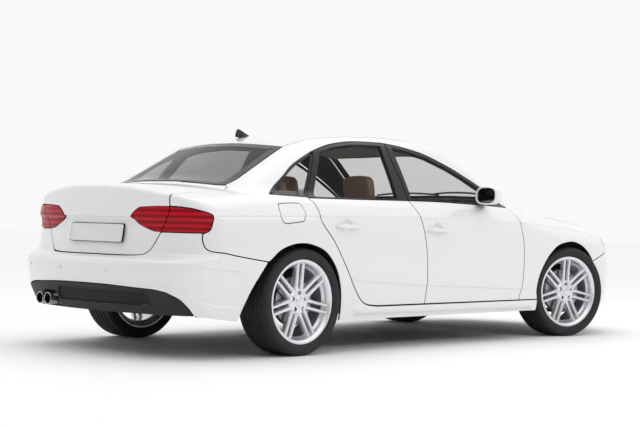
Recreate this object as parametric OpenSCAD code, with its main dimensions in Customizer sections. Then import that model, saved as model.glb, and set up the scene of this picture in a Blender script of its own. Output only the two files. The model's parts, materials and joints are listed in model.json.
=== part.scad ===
/* [Overall size] */
// Tyre outside radius
tyre_r = 330.5; // [320:0.5:340]
// Distance between the axles
wheelbase = 2808; // [2780:1:2840]
// Distance between the middles of the front tyres
front_track = 1564; // [1544:1:1576]
// Distance between the middles of the rear tyres
rear_track = 1551; // [1535:1:1561]
// Width of each tyre
tyre_w = 254; // [235:1:258]
// Angle the front wheels stand turned at rest, negative to the right
rest_steer = -13.5; // [-20:0.5:0]

/* [Body sheets] */
// Wall thickness of the fixed side frames
frame_t = 62; // [50:1:75]
// Thickness of the roof with its lining
roof_t = 30; // [20:1:40]
// Thickness of the hood with its inner frame
hood_t = 26; // [18:1:32]
// Thickness of the trunk lid with its inner frame
lid_t = 28; // [20:1:36]
// Thickness of the front fenders
fender_t = 16; // [10:1:22]
// Thickness of both bumper covers
bumper_t = 22; // [14:1:28]
// Depth of the lamp bodies
lamp_t = 40; // [30:1:50]
// Thickness of the window glass
glass_t = 5; // [4:0.5:6]

/* [Doors] */
// Thickness of the window frames
door_frame_t = 42; // [34:1:50]
// Thickness of the doors below the windows
door_t = 104; // [90:1:112]
// Thickness of the thin leading edge that turns past the panel in front
door_edge_t = 6; // [4:0.5:7]
// Gap round each door
door_gap = 7; // [6:0.5:9]
// Gap round the hood and the trunk lid
lid_gap = 7; // [6:0.5:9]

/* [Wheels] */
// Outside radius of the rim flange
rim_r = 258.8; // [250:0.2:262]
// Number of twin spokes in each wheel
spokes = 7; // [5:1:9]
// Radius of the front brake discs
front_disc_r = 160; // [140:1:172]
// Radius of the rear brake discs
rear_disc_r = 150; // [130:1:165]

/* [Hidden] */
$fn = 48;
front_x = wheelbase / 2 + 65.5;
rear_x = front_x - wheelbase;
gap = door_gap / 2;
lid_half_gap = lid_gap / 2;
soft_gap = 0.3;

// Form of the body: half width, creases, deck, tail, nose, roof and cabin lines, as [station, value]
half_width = [[-2360, 800], [-2150, 838], [-1900, 876], [-1600, 900], [-1338, 910], [-900, 908], [300, 905],
  [1200, 910], [1469, 911], [1750, 893], [1950, 862], [2150, 815], [2360, 740]];
crease_z = [[-2360, 838], [-2040, 846], [-1500, 855], [-250, 860], [400, 848], [830, 832], [1290, 809],
  [1600, 783], [1900, 735], [2360, 640]];
low_crease_z = [[-2360, 470], [-900, 450], [-266, 405], [825, 358], [2360, 330]];
deck_z = [[-2400, 985], [-2290, 1024], [-2100, 1034], [-1800, 1046], [-1700, 1050], [-1400, 1072],
  [600, 1060], [900, 1022], [1060, 994], [1320, 945], [1560, 919], [1860, 871], [2057, 828], [2200, 776],
  [2300, 712], [2400, 620]];
deck_drop = [[-2360, 130], [-2100, 125], [-1700, 95], [-1300, 95], [700, 110], [1000, 135], [1900, 135],
  [2360, 150]];
tail_x = [[150, -2240], [260, -2262], [330, -2300], [420, -2330], [500, -2350], [560, -2351], [590, -2320],
  [610, -2258], [650, -2246], [740, -2236], [830, -2254], [900, -2254], [960, -2264], [1000, -2268]];
nose_x = [[150, 2250], [220, 2310], [300, 2338], [420, 2351], [520, 2350], [620, 2318], [700, 2285],
  [760, 2240], [900, 2100]];
roof_z = [[-2340, 100], [-1800, 1025], [-1720, 1066], [-1500, 1180], [-1300, 1283], [-1150, 1350],
  [-1000, 1384], [-700, 1415], [-350, 1427], [0, 1418], [250, 1385], [450, 1320], [700, 1195], [1000, 1022],
  [1500, 640], [2100, 100]];
cabin_y = [[-2100, 640], [-1700, 735], [-1300, 795], [-700, 822], [-200, 828], [300, 818], [700, 790],
  [1000, 750], [1300, 690]];
blend_r = [[-2300, 70], [-1700, 60], [-1300, 40], [-1100, 14], [700, 14], [1000, 40], [1300, 40]];
drop_power = [[600, 2.4], [1000, 5]];
tail_round = [[880, 120], [960, 34]];
under_z = 190;
function round_and(a, b, r) = min(max(a, b), -r) + norm([max(a + r, 0), max(b + r, 0)]);
function ramp(t, e) = (sqrt(t * t + e * e) + t) / 2;
function tub(x, y, z, zc, zl) =
  let (mid = (zc + zl) / 2,
    side = lookup(x, half_width) - 10 * pow(min(abs(z - mid) / ((zc - zl) / 2), 1), 2)
      - 0.62 * ramp(z - zc, 12) - 0.12 * ramp(zl - z, 10),
    deck = lookup(x, deck_z) - lookup(x, deck_drop) * pow(y / 850, lookup(x, drop_power)),
    flanks = round_and((y - side) * 0.95, (z - deck) * 0.97, 45),
    with_nose = round_and(flanks, (x - lookup(z, nose_x) + 150 * pow(y / 700, 2.4)) * 0.93, 150))
  round_and(with_nose, (lookup(z, tail_x) + 95 * pow(y / 700, 2.6) - x) * 0.95, lookup(z, tail_round));
function cabin(x, y, z) =
  let (bow = x + (x > -350 ? 1 : -1) * 110 * pow(y / 700, 2) * min(abs(x + 350) / 900, 1),
    side = lookup(x, cabin_y) - 0.36 * abs(z - 950) - 0.00034 * pow(max(z - 950, 0), 2))
  round_and((y - side) * 0.89, (z - lookup(bow, roof_z) + 34 * pow(y / 600, 2)) * 0.9, 55);
function body(x, y, z) =
  let (both = -round_and(-tub(x, y, z, lookup(x, crease_z), lookup(x, low_crease_z)), -cabin(x, y, z),
      lookup(x, blend_r)))
  max(both, under_z - z);

// Rings of points on the form: straight rings along the length, then fans of tilted rings at both ends
axis_z = 560;
fan_x = 1650;
stations = [-1650, -1500, -1400, -1300, -1200, -1100, -1000, -850, -700, -500, -300, -100, 100, 250,
  400, 500, 600, 700, 800, 900, 1000, 1060, 1150, 1300, 1450, 1650];
fan = [14, 26, 36, 44, 51, 58, 65, 72, 80];
rays = concat([for (a = [len(fan) - 1:-1:0]) [-fan_x, -fan[a]]], [for (x = stations) [x, 0]],
  [for (a = fan) [fan_x, a]]);
function targets(zc, zl) = [[0, under_z], [450, under_z], [870, under_z], [895, 240], [905, zl],
  [905, zl + (zc - zl) / 3], [905, zl + (zc - zl) * 2 / 3], [900, zc], [870, zc + 45], [835, zc + 95],
  [800, 1040], [750, 1160], [700, 1260], [640, 1330], [560, 1385], [420, 1405], [220, 1415], [0, 1425]];
function reach(o, d, lo, hi, n) =
  n == 0 ? (lo + hi) / 2
  : let (m = (lo + hi) / 2, p = o + d * m)
  body(p[0], p[1], p[2]) < 0 ? reach(o, d, m, hi, n - 1) : reach(o, d, lo, m, n - 1);
half_rings = [for (r = rays) [for (t = targets(lookup(r[0], crease_z), lookup(r[0], low_crease_z)))
  let (v = [t[0], t[1] - axis_z] / norm([t[0], t[1] - axis_z]),
    d = [sin(r[1]), cos(r[1]) * v[0], cos(r[1]) * v[1]], o = [r[0], 0, axis_z])
  o + d * reach(o, d, 50, 1400, 13)]];
n_half = len(half_rings[0]);
n_ring = 2 * n_half - 2;
grid = [for (h = half_rings)
  concat([for (p = h) [p[0], -p[1], p[2]]], [for (j = [n_half - 2:-1:1]) h[j]])];
n_rows = len(grid);
function wrap(i) = (i + n_ring) % n_ring;
function normal(i, j) =
  let (along = grid[min(i + 1, n_rows - 1)][j] - grid[max(i - 1, 0)][j],
    around = grid[i][wrap(j + 1)] - grid[i][wrap(j - 1)], n = cross(along, around))
  n / norm(n);
function spot(row, j) = row * n_ring + j;

// The closed form of the whole body, moved inwards by t
module form(t)
{
  pts = [for (i = [0:n_rows - 1]) for (j = [0:n_ring - 1])
    t == 0 ? grid[i][j] : grid[i][j] - normal(i, j) * t];
  m = len(pts);
  tail_tip = [min([for (j = [0:n_ring - 1]) pts[j][0]]), 0, axis_z];
  nose_tip = [max([for (j = [m - n_ring:m - 1]) pts[j][0]]), 0, axis_z];
  walls = [for (i = [0:n_rows - 2]) for (j = [0:n_ring - 1])
    let (a = spot(i, j), b = spot(i, wrap(j + 1)), c = spot(i + 1, wrap(j + 1)),
      d = spot(i + 1, j))
    each [[a, b, c], [a, c, d]]];
  back = [for (j = [0:n_ring - 1]) [wrap(j + 1), j, m]];
  front = [for (j = [0:n_ring - 1]) [m - n_ring + j, m - n_ring + wrap(j + 1), m + 1]];
  polyhedron(concat(pts, [tail_tip, nose_tip]), concat(walls, back, front));
}
module skin(t)
{
  difference()
  {
    form(0);
    form(t);
  }
}
// One sheet body worked out as a single mesh
module sheet() { resize([0, 0, 0]) children(); }
module seen_from_side(y0, y1)
{
  translate([0, y1, 0]) rotate([90, 0, 0]) linear_extrude(y1 - y0) children();
}
module right_side() { seen_from_side(-1100, 0) children(); }
module seen_from_top(z0, z1) { translate([0, 0, z0]) linear_extrude(z1 - z0) children(); }
module seen_from_back(x0, x1)
{
  translate([x0, 0, 0]) rotate([90, 0, 90]) linear_extrude(x1 - x0) children();
}
module both_sides()
{
  children();
  mirror([0, 1, 0]) children();
}
module both_halves() { for (s = [1, -1]) scale([1, s]) children(); }
module both_faces() { for (s = [1, -1]) scale([s, 1]) children(); }

// Shut lines, seen from the right side as [x, z]
rear_door_back = [[-1039, 1273], [-1128, 1129], [-1238, 969], [-1207, 917], [-1191, 824], [-1086, 701],
  [-998, 577], [-903, 440], [-825, 341], [-757, 299], [-660, 286]];
door_split = [[-190, 285], [-181, 406], [-195, 589], [-216, 732], [-252, 859], [-295, 959], [-338, 1240],
  [-335, 1352]];
front_door_front = [[830, 271], [859, 406], [863, 659], [845, 779], [828, 855], [775, 941], [552, 1073]];
rear_door_top = [[-403, 1352], [-654, 1350], [-872, 1320]];
front_door_top = [[358, 1165], [226, 1222], [31, 1291], [-173, 1332]];
window_line = 975;
module rear_door_outline() { polygon(concat(rear_door_back, door_split, rear_door_top)); }
module front_door_outline()
{
  polygon(concat([for (i = [len(door_split) - 1:-1:0]) door_split[i]], front_door_front, front_door_top));
}
module quarter_outline()
{
  polygon([[-1541, 984], [-1240, 976], [-1128, 1135], [-1039, 1280], [-1073, 1263], [-1256, 1178],
    [-1410, 1072]]);
}
module arch_outline(x, r)
{
  translate([x, tyre_r]) circle(r, $fn = 96);
  translate([x - r, 0]) square([2 * r, tyre_r]);
}
arch_r = 366;
module arches(r, y_in)
{
  seen_from_side(-1100, -y_in)
  {
    arch_outline(front_x - 20, r);
    arch_outline(rear_x - 20, r);
  }
}
module all_arches(r, y_in) { both_sides() arches(r, y_in); }
// Zones of the top, seen from above as [x, y], right half
module windshield_plan()
{
  both_halves() polygon([[430, 0], [415, 250], [350, 520], [335, 560], [800, 705], [930, 560], [1010, 300],
    [1035, 0]]);
}
module rear_window_plan()
{
  both_halves() polygon([[-1215, 0], [-1200, 300], [-1169, 505], [-1687, 548], [-1735, 400], [-1770, 0]]);
}
module roof_plan()
{
  both_halves() polygon([[430, 0], [415, 250], [350, 520], [335, 560], [0, 566], [-500, 566], [-1000, 545],
    [-1169, 505], [-1200, 300], [-1215, 0]]);
}
module hood_plan()
{
  both_halves() polygon([[1062, 0], [1040, 300], [990, 560], [943, 722], [1500, 738], [1800, 722],
    [1907, 700], [2040, 600], [2150, 400], [2195, 0]]);
}
module lid_plan()
{
  both_halves() polygon([[-1784, 0], [-1750, 400], [-1702, 575], [-1730, 600], [-2200, 655], [-2600, 655],
    [-2600, 0]]);
}
// Zones of the tail and the nose, seen along the length as [y, z], right half
module lid_face()
{
  both_faces() polygon([[0, 604], [482, 608], [535, 652], [594, 740], [640, 830], [655, 905], [663, 975],
    [663, 1200], [0, 1200]]);
}
module inner_lamp_face()
{
  both_faces() polygon([[325, 826], [413, 891], [536, 897], [700, 906], [700, 747], [567, 747], [485, 767]]);
}
module diffuser_face()
{
  both_faces() polygon([[0, 257], [940, 257], [1000, 280], [930, 329], [820, 379], [690, 412], [400, 420],
    [0, 425]]);
}
module grille_face()
{
  both_faces() polygon([[0, 742], [330, 742], [345, 700], [235, 340], [0, 335]]);
  both_faces() polygon([[470, 430], [760, 440], [740, 300], [440, 290]]);
}
module outer_lamp_side()
{
  polygon([[-2400, 906], [-2126, 888], [-2044, 862], [-2026, 839], [-2038, 770], [-2061, 745],
    [-2400, 747]]);
}
module headlight_side()
{
  polygon([[1900, 735], [1982, 624], [2200, 612], [2500, 640], [2500, 800], [2000, 790]]);
}
module rear_bumper_side()
{
  polygon([[-2500, 1100], [-2074, 745], [-2076, 679], [-2052, 645], [-1853, 610], [-1600, 576], [-1640, 400],
    [-1833, 219], [-2153, 262], [-2500, 262]]);
}
module front_bumper_side()
{
  polygon([[1780, 568], [1982, 624], [2100, 740], [2500, 860], [2500, 200], [1780, 205]]);
}
module fender_side()
{
  polygon([[830, 285], [859, 406], [863, 659], [845, 779], [828, 855], [775, 941], [790, 1010], [1300, 1010],
    [2500, 900], [2500, 285]]);
}
module lid_zone(gap)
{
  intersection()
  {
    seen_from_top(500, 1300) offset(delta = gap) lid_plan();
    seen_from_back(-2500, -1500) offset(delta = gap) lid_face();
  }
}
module headlight_zone(grow)
{
  difference()
  {
    intersection()
    {
      both_sides() seen_from_side(-1100, -395 + grow) offset(delta = grow) headlight_side();
      translate([1890 - grow, -1100, 500]) cube([700, 2200, 400]);
    }
    seen_from_top(500, 1200) offset(delta = lid_half_gap) hood_plan();
  }
}
module outer_lamp_zone()
{
  difference()
  {
    both_sides() seen_from_side(-1100, -560) outer_lamp_side();
    lid_zone(lid_half_gap);
  }
}
module grille_zone(grow) { seen_from_back(1900, 2600) offset(delta = grow) grille_face(); }
module diffuser_zone() { seen_from_back(-2500, -1750) diffuser_face(); }
module rear_bumper_zone()
{
  difference()
  {
    both_sides() right_side() rear_bumper_side();
    lid_zone(lid_half_gap);
    outer_lamp_zone();
    diffuser_zone();
    all_arches(arch_r, 0);
    translate([-2500, -860, 0]) cube([710, 1720, 258]);
  }
}
module front_bumper_zone()
{
  difference()
  {
    both_sides() right_side() front_bumper_side();
    seen_from_top(500, 1300) offset(delta = lid_half_gap) hood_plan();
    headlight_zone(0);
    grille_zone(0);
    all_arches(arch_r, 0);
  }
}
// The opening is wider round the rear door's upper back corner, which swings past it
corner_room = 6;
corner_end = -640;
module apertures(grow)
{
  both_sides() right_side()
  {
    offset(delta = grow)
    {
      rear_door_outline();
      front_door_outline();
    }
    intersection()
    {
      offset(delta = grow + corner_room) rear_door_outline();
      translate([corner_end - 800, window_line]) square([800, 600]);
    }
  }
}
pad_x = [-880, 700];
pad_y = 740;
pad_z = 180;
module jacking_pads()
{
  both_sides() for (x = pad_x) translate([x, -pad_y, pad_z]) cylinder(h = frame_t, r = 30);
}
module side_frames()
{
  color("white") sheet() difference()
  {
    union()
    {
      intersection()
      {
        skin(frame_t);
        union()
        {
          translate([-1700, -1100, 0]) cube([2740, 2200, 1500]);
          translate([-2085, -1100, 560]) cube([500, 2200, 900]);
          translate([-2300, -1100, 880]) cube([500, 2200, 600]);
        }
      }
      jacking_pads();
    }
    apertures(gap);
    both_sides() right_side() quarter_outline();
    seen_from_top(700, 1500)
    {
      windshield_plan();
      rear_window_plan();
      roof_plan();
      offset(delta = lid_half_gap) hood_plan();
    }
    translate([-3000, -sill_in, 0]) cube([6000, 2 * sill_in, 1500]);
    lid_zone(lid_half_gap);
    outer_lamp_zone();
    both_sides() right_side()
    {
      rear_bumper_side();
      fender_side();
    }
    all_arches(arch_r, 0);
  }
}
module roof_panel()
{
  color("white") sheet() difference()
  {
    intersection()
    {
      skin(roof_t);
      seen_from_top(1000, 1500) roof_plan();
    }
    apertures(gap);
  }
}
// Brackets under the hood's edge that it rests on
rest_x = 1500;
rest_z = 745;
module hood_rests()
{
  both_sides()
  {
    intersection()
    {
      form(hood_t + soft_gap);
      translate([rest_x, -745, rest_z]) cube([60, 60, 300]);
    }
    intersection()
    {
      form(fender_t - 2);
      translate([rest_x, -790, rest_z]) cube([60, 50, 300]);
    }
  }
}
module front_fenders()
{
  color("white") sheet() difference()
  {
    union()
    {
      intersection()
      {
        skin(fender_t);
        both_sides() right_side() fender_side();
      }
      hood_rests();
    }
    both_sides() right_side() offset(delta = gap) front_door_outline();
    seen_from_top(700, 1500)
    {
      windshield_plan();
      offset(delta = lid_half_gap) hood_plan();
    }
    both_sides() right_side() front_bumper_side();
    headlight_zone(0);
    all_arches(arch_r, 0);
    translate([0, -560, 0]) cube([2600, 1120, 1500]);
    translate([2000, -1000, 700]) cube([600, 2000, 300]);
  }
}
module front_bumper()
{
  color("white") sheet() intersection()
  {
    skin(bumper_t);
    front_bumper_zone();
  }
}
module grille()
{
  color("black") sheet() difference()
  {
    intersection()
    {
      skin(bumper_t);
      grille_zone(0);
    }
    seen_from_top(500, 1300) offset(delta = lid_half_gap) hood_plan();
  }
}
module headlights()
{
  color("lightgray") sheet() intersection()
  {
    skin(lamp_t);
    headlight_zone(0);
  }
}
module rear_bumper()
{
  color("white") sheet() intersection()
  {
    skin(bumper_t);
    rear_bumper_zone();
  }
}
module rear_diffuser()
{
  color("dimgray") sheet() difference()
  {
    intersection()
    {
      skin(bumper_t);
      diffuser_zone();
      translate([-2500, -1100, 0]) cube([750, 2200, 600]);
    }
    all_arches(arch_r, 0);
    exhaust_holes();
  }
}
exhaust_y = [367, 450];
exhaust_z = 313;
exhaust_r = 37;
module exhaust_holes()
{
  for (y = exhaust_y) translate([-2500, y, exhaust_z]) rotate([0, 90, 0]) cylinder(h = 600, r = exhaust_r);
}
module exhaust_pipes(x, long, r)
{
  for (y = exhaust_y) translate([x, y, exhaust_z]) rotate([0, 90, 0]) cylinder(h = long, r = r);
}
module exhaust()
{
  color("silver") union()
  {
    difference()
    {
      exhaust_pipes(-2335, 200, exhaust_r - soft_gap);
      exhaust_pipes(-2340, 120, exhaust_r - 4);
    }
    translate([-2155, 60, 275]) cube([215, 440, 90]);
    translate([-1950, 160, 320]) rotate([0, 90, 0]) cylinder(h = 390, r = 30);
  }
}
module taillights()
{
  color("darkred") sheet() intersection()
  {
    skin(lamp_t);
    outer_lamp_zone();
  }
}
module windshield()
{
  color("lightblue") sheet() intersection()
  {
    skin(glass_t);
    seen_from_top(900, 1500) windshield_plan();
  }
}
module rear_window()
{
  color("lightblue") sheet() intersection()
  {
    skin(glass_t);
    seen_from_top(900, 1500) rear_window_plan();
  }
}
module quarter_glass()
{
  color("lightblue") sheet() intersection()
  {
    skin(glass_t);
    both_sides() right_side() quarter_outline();
  }
}
module hood()
{
  color("white") sheet() intersection()
  {
    skin(hood_t);
    seen_from_top(600, 1300) offset(delta = -lid_half_gap) hood_plan();
  }
}
module lid_body()
{
  intersection()
  {
    skin(lid_t);
    lid_zone(-lid_half_gap);
  }
}
module trunk_lid()
{
  color("white") sheet() difference()
  {
    lid_body();
    seen_from_back(-2500, -2000) inner_lamp_face();
  }
}
module lid_lamps()
{
  color("darkred") sheet() intersection()
  {
    lid_body();
    seen_from_back(-2500, -2000) inner_lamp_face();
  }
}
frame_w = 34;
door_side = 905;
module front_window_outline()
{
  difference()
  {
    offset(delta = -frame_w) front_door_outline();
    translate([-3000, 0]) square([6000, window_line]);
    translate([640, 0]) square([400, 2000]);
  }
}
module rear_window_outline()
{
  difference()
  {
    offset(delta = -frame_w) rear_door_outline();
    translate([-3000, 0]) square([6000, window_line]);
  }
}
module right_door(front)
{
  edge_x = front ? 745 : -300;
  difference()
  {
    union()
    {
      intersection()
      {
        skin(door_frame_t);
        right_side() offset(delta = -gap) door_outline(front);
      }
      intersection()
      {
        form(0);
        seen_from_side(-1100, door_t - door_side) difference()
        {
          offset(delta = -26) door_outline(front);
          translate([-3000, window_line - 35]) square([6000, 1000]);
        }
      }
    }
    intersection()
    {
      form(door_edge_t);
      right_side() leading_strip(front);
    }
    right_side() window_outline(front);
  }
}
module door_outline(front)
{
  if (front)
    front_door_outline();
  else
    rear_door_outline();
}
module window_outline(front)
{
  if (front)
    front_window_outline();
  else
    rear_window_outline();
}
edge_depth = 62;
module leading_strip(front)
{
  edge = front ? front_door_front : door_split;
  last = len(front_door_front) - 2;
  ends = [for (i = [0:last]) i == 0 ? -40 : i == last ? 12 : 0];
  polygon(concat([for (i = [0:last]) edge[i] + [20, ends[i]]],
    [for (i = [last:-1:0]) edge[i] + [-edge_depth, ends[i]]]));
}
module glass_pane(front)
{
  intersection()
  {
    skin(glass_t);
    right_side() window_outline(front);
  }
}
module mirror_body()
{
  translate([408, -948, 1017]) hull()
  {
    translate([-10, 0, 0]) cube([20, 170, 120], center = true);
    translate([-66, -8, 0]) cube([4, 196, 140], center = true);
    translate([66, 10, -6]) cube([20, 120, 80], center = true);
  }
  translate([380, -900, 955]) cube([70, 102, 34]);
}
module mirror_right()
{
  color("white") sheet() difference()
  {
    mirror_body();
    form(0);
  }
}
module mirror_left() { mirror([0, 1, 0]) mirror_right(); }
module front_door_right() { color("white") sheet() right_door(true); }
module front_door_left() { color("white") sheet() mirror([0, 1, 0]) right_door(true); }
module rear_door_right() { color("white") sheet() right_door(false); }
module rear_door_left() { color("white") sheet() mirror([0, 1, 0]) right_door(false); }
module front_glass_right() { color("lightblue") sheet() glass_pane(true); }
module front_glass_left() { color("lightblue") sheet() mirror([0, 1, 0]) glass_pane(true); }
module rear_glass_right() { color("lightblue") sheet() glass_pane(false); }
module rear_glass_left() { color("lightblue") sheet() mirror([0, 1, 0]) glass_pane(false); }

// Structure under the sheets
floor_z = 215;
floor_t = 25;
rear_floor_z = 380;
heel_h = rear_floor_z + floor_t - floor_z;
rear_door_end = -1245;
heel_x = -615;
bulkhead_x = 925;
sill_in = 560;
tunnel_w = 140;
tunnel_h = 160;
liner_r = 405;
arch_in = 600;
subframe_z = 215;
subframe_h = 60;
strut_y = 560;
strut_r = 24;
module inside(t)
{
  intersection()
  {
    form(t);
    children();
  }
}
module floor_pan()
{
  color("gray") sheet() difference()
  {
    union()
    {
      translate([heel_x, -sill_in, floor_z]) cube([bulkhead_x - heel_x, 2 * sill_in, floor_t]);
      translate([heel_x, -tunnel_w, floor_z]) cube([bulkhead_x - heel_x, 2 * tunnel_w, tunnel_h]);
      translate([heel_x - floor_t, -sill_in, floor_z]) cube([floor_t, 2 * sill_in, heel_h]);
      inside(frame_t) translate([-2180, -900, rear_floor_z]) cube([2180 + rear_door_end, 1800, floor_t]);
      translate([rear_door_end, -sill_in, rear_floor_z]) cube([heel_x - rear_door_end, 2 * sill_in, floor_t]);
    }
    translate([heel_x, -tunnel_w + floor_t, 0])
      cube([2000, 2 * (tunnel_w - floor_t), floor_z + tunnel_h - floor_t]);
    all_arches(liner_r, arch_in);
  }
}
module bulkhead()
{
  color("gray") sheet() inside(frame_t) translate([bulkhead_x, -900, floor_z]) cube([floor_t, 1800, 900]);
}
module parcel_shelf()
{
  color("dimgray") sheet() inside(frame_t) translate([-1660, -700, 985]) cube([440, 1400, floor_t]);
}
module arch_liner(x, t)
{
  intersection()
  {
    form(t);
    seen_from_side(-1000, -arch_in) difference()
    {
      arch_outline(x, liner_r);
      arch_outline(x, liner_r - 5);
      translate([x - 1000, 0]) square([2000, 330]);
    }
  }
}
module wheel_liners()
{
  color("dimgray") sheet() both_sides() difference()
  {
    union()
    {
      arch_liner(front_x - 20, bumper_t + soft_gap);
      arch_liner(rear_x - 20, frame_t + soft_gap);
    }
    translate([front_x, -strut_y, 500]) cylinder(h = 400, r = strut_r + 5);
  }
}
module engine_block() { color("gray") translate([1180, -260, subframe_z + subframe_h]) cube([620, 520, 500]); }
module fuel_tank()
{
  color("dimgray") translate([-1040, -430, rear_floor_z - 140]) cube([380, 860, 140]);
}
module front_axle()
{
  color("gray") union()
  {
    translate([1200, -380, subframe_z]) cube([560, 760, subframe_h]);
    both_sides() translate([front_x - 30, -kingpin_y - 15, 170]) cube([60, kingpin_y - 345, 25]);
    both_sides() translate([front_x - 30, -390, 170]) cube([60, 60, 60]);
    both_sides() translate([front_x, -kingpin_y, 190]) cylinder(h = 10, r = 14);
    both_sides() translate([front_x, -strut_y, 180]) cylinder(h = 590, r = strut_r);
  }
}
module rear_axle()
{
  color("gray") union()
  {
    translate([rear_x - 150, -480, 270]) cube([300, 960, 60]);
    both_sides() translate([rear_x - 30, -640, 235]) cube([60, 200, 60]);
    both_sides() translate([rear_x - 45, -690, tyre_r - 90]) cube([90, 60, 180]);
    both_sides() translate([rear_x, -689, tyre_r]) rotate([90, 0, 0])
      cylinder(h = rear_track / 2 - 689 + disc_t - 7 - soft_gap, r = 40);
  }
}
module dashboard()
{
  color("dimgray") sheet() difference()
  {
    inside(frame_t) translate([560, -790, 700]) cube([bulkhead_x - 560, 1580, 260]);
    at_steering_wheel() translate([0, 0, -140]) cylinder(h = 140, r = column_r + 2 * soft_gap);
  }
}
column_r = 30;
module at_steering_wheel() { translate([480, 380, 860]) rotate([0, -66, 0]) children(); }
module steering_wheel()
{
  color("black") at_steering_wheel() union()
  {
    rotate_extrude() translate([178, 0]) circle(16);
    translate([-170, -12, -10]) cube([340, 24, 20]);
    translate([0, 0, -20]) cylinder(h = 40, r = 60);
    translate([0, 0, -140]) cylinder(h = 130, r = column_r);
  }
}
module seat(y)
{
  translate([-120, y - 225, 300]) cube([520, 450, 150]);
  hull()
  {
    translate([-140, y - 225, 400]) cube([110, 450, 20]);
    translate([-330, y - 220, 940]) cube([90, 440, 20]);
  }
  translate([-345, y - 130, 950]) cube([90, 260, 190]);
  translate([-40, y - 180, floor_z + floor_t]) cube([360, 360, 62]);
}
module front_seats() { color("tan") sheet() both_sides() seat(-370); }
module rear_bench()
{
  deck = rear_floor_z + floor_t;
  color("tan") sheet() union()
  {
    translate([-960, -590, deck]) cube([400, 1180, 95]);
    hull()
    {
      translate([-1010, -590, deck]) cube([120, 1180, 20]);
      translate([-1180, -580, 920]) cube([90, 1160, 20]);
    }
    for (y = [-400, 400]) translate([-1200, y - 130, 930]) cube([80, 260, 150]);
  }
}
module centre_console() { color("dimgray") translate([-150, -100, floor_z + 160]) cube([780, 200, 200]); }
module antenna_fin()
{
  color("black") sheet() difference()
  {
    hull()
    {
      translate([-1110, -22, 1340]) cube([140, 44, 30]);
      translate([-1114, -5, 1425]) cube([30, 10, 2]);
    }
    form(0);
  }
}

// Wheels, built round the Z axis with the outer face upwards
disc_t = 30;
kingpin_y = 740;
bead_r = rim_r - 17.8;
half_w = tyre_w / 2;
// Places up the side wall of the tyre, as shares of its height
function up_wall(share) = rim_r + (tyre_r - rim_r) * share;
module tyre_ring()
{
  outer = [[rim_r, half_w - 22], [up_wall(0.07), half_w - 11], [up_wall(0.43), half_w],
    [up_wall(0.71), half_w - 1], [up_wall(0.9), half_w - 12], [tyre_r, half_w - 29]];
  inner = [[up_wall(0.82), half_w - 35], [up_wall(0.64), half_w - 17], [up_wall(0.36), half_w - 15],
    [rim_r, half_w - 33]];
  rotate_extrude() polygon(concat([[bead_r, half_w - 28]], outer,
    [for (i = [len(outer) - 1:-1:0]) [outer[i][0], -outer[i][1]]], [[bead_r, 28 - half_w]],
    [[bead_r, 45 - half_w]], [for (i = [len(inner) - 1:-1:0]) [inner[i][0], -inner[i][1]]], inner,
    [[bead_r, half_w - 45]]));
}
module rim_wheel()
{
  out = half_w - 16;
  union()
  {
    rotate_extrude() polygon([[rim_r, out], [rim_r, out - 6], [bead_r, out - 12], [bead_r, out - 30],
      [bead_r - 18, out - 48], [bead_r - 18, 30 - out], [bead_r, 14 - out], [bead_r, 12 - out],
      [rim_r, 6 - out], [rim_r, -out], [rim_r - 8, -out], [bead_r - 8, 12 - out], [bead_r - 26, 32 - out],
      [bead_r - 26, out - 50], [bead_r - 8, out - 30], [bead_r - 8, out - 12], [rim_r - 8, out]]);
    translate([0, 0, 46]) cylinder(h = 40, r = 74);
    for (i = [0:spokes - 1]) for (s = [-1, 1]) rotate([0, 0, i * 360 / spokes]) translate([0, 0, 56])
      linear_extrude(36) polygon([[60, s * 6], [60, s * 26], [bead_r - 5, s * 40], [bead_r - 5, s * 24]]);
  }
}
module brake_disc(r)
{
  difference()
  {
    union()
    {
      cylinder(h = disc_t, r = r);
      translate([0, 0, disc_t]) cylinder(h = 46 - disc_t, r = 78);
    }
    translate([0, 0, -1]) cylinder(h = disc_t - 6, r = 72);
  }
}
module at_front_right()
{
  translate([front_x, -kingpin_y, tyre_r]) rotate([0, 0, rest_steer])
    translate([0, kingpin_y - front_track / 2, 0]) rotate([90, 0, 0]) children();
}
module at_front_left()
{
  translate([front_x, kingpin_y, tyre_r]) rotate([0, 0, rest_steer])
    translate([0, front_track / 2 - kingpin_y, 0]) rotate([-90, 0, 0]) children();
}
module at_rear_right() { translate([rear_x, -rear_track / 2, tyre_r]) rotate([90, 0, 0]) children(); }
module at_rear_left() { translate([rear_x, rear_track / 2, tyre_r]) rotate([-90, 0, 0]) children(); }
module tyre_front_left() { color("black") at_front_left() tyre_ring(); }
module tyre_front_right() { color("black") at_front_right() tyre_ring(); }
module tyre_rear_left() { color("black") at_rear_left() tyre_ring(); }
module tyre_rear_right() { color("black") at_rear_right() tyre_ring(); }
module rim_front_left() { color("silver") at_front_left() rim_wheel(); }
module rim_front_right() { color("silver") at_front_right() rim_wheel(); }
module rim_rear_left() { color("silver") at_rear_left() rim_wheel(); }
module rim_rear_right() { color("silver") at_rear_right() rim_wheel(); }
module disc_front_left() { color("gray") at_front_left() brake_disc(front_disc_r); }
module disc_front_right() { color("gray") at_front_right() brake_disc(front_disc_r); }
module disc_rear_left() { color("gray") at_rear_left() brake_disc(rear_disc_r); }
module disc_rear_right() { color("gray") at_rear_right() brake_disc(rear_disc_r); }
module knuckle_body()
{
  translate([0, 0, -60]) cylinder(h = 60 + disc_t - 7 - soft_gap, r = 44);
  translate([-40, -130, -60]) cube([80, 260, 40]);
  translate([-front_disc_r - 22, -60, -40]) cube([90, 120, 34]);
  translate([-front_disc_r - 22, -60, -40]) cube([16, 120, 88]);
  translate([-front_disc_r, -30, -60]) cube([front_disc_r, 60, 40]);
}
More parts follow.
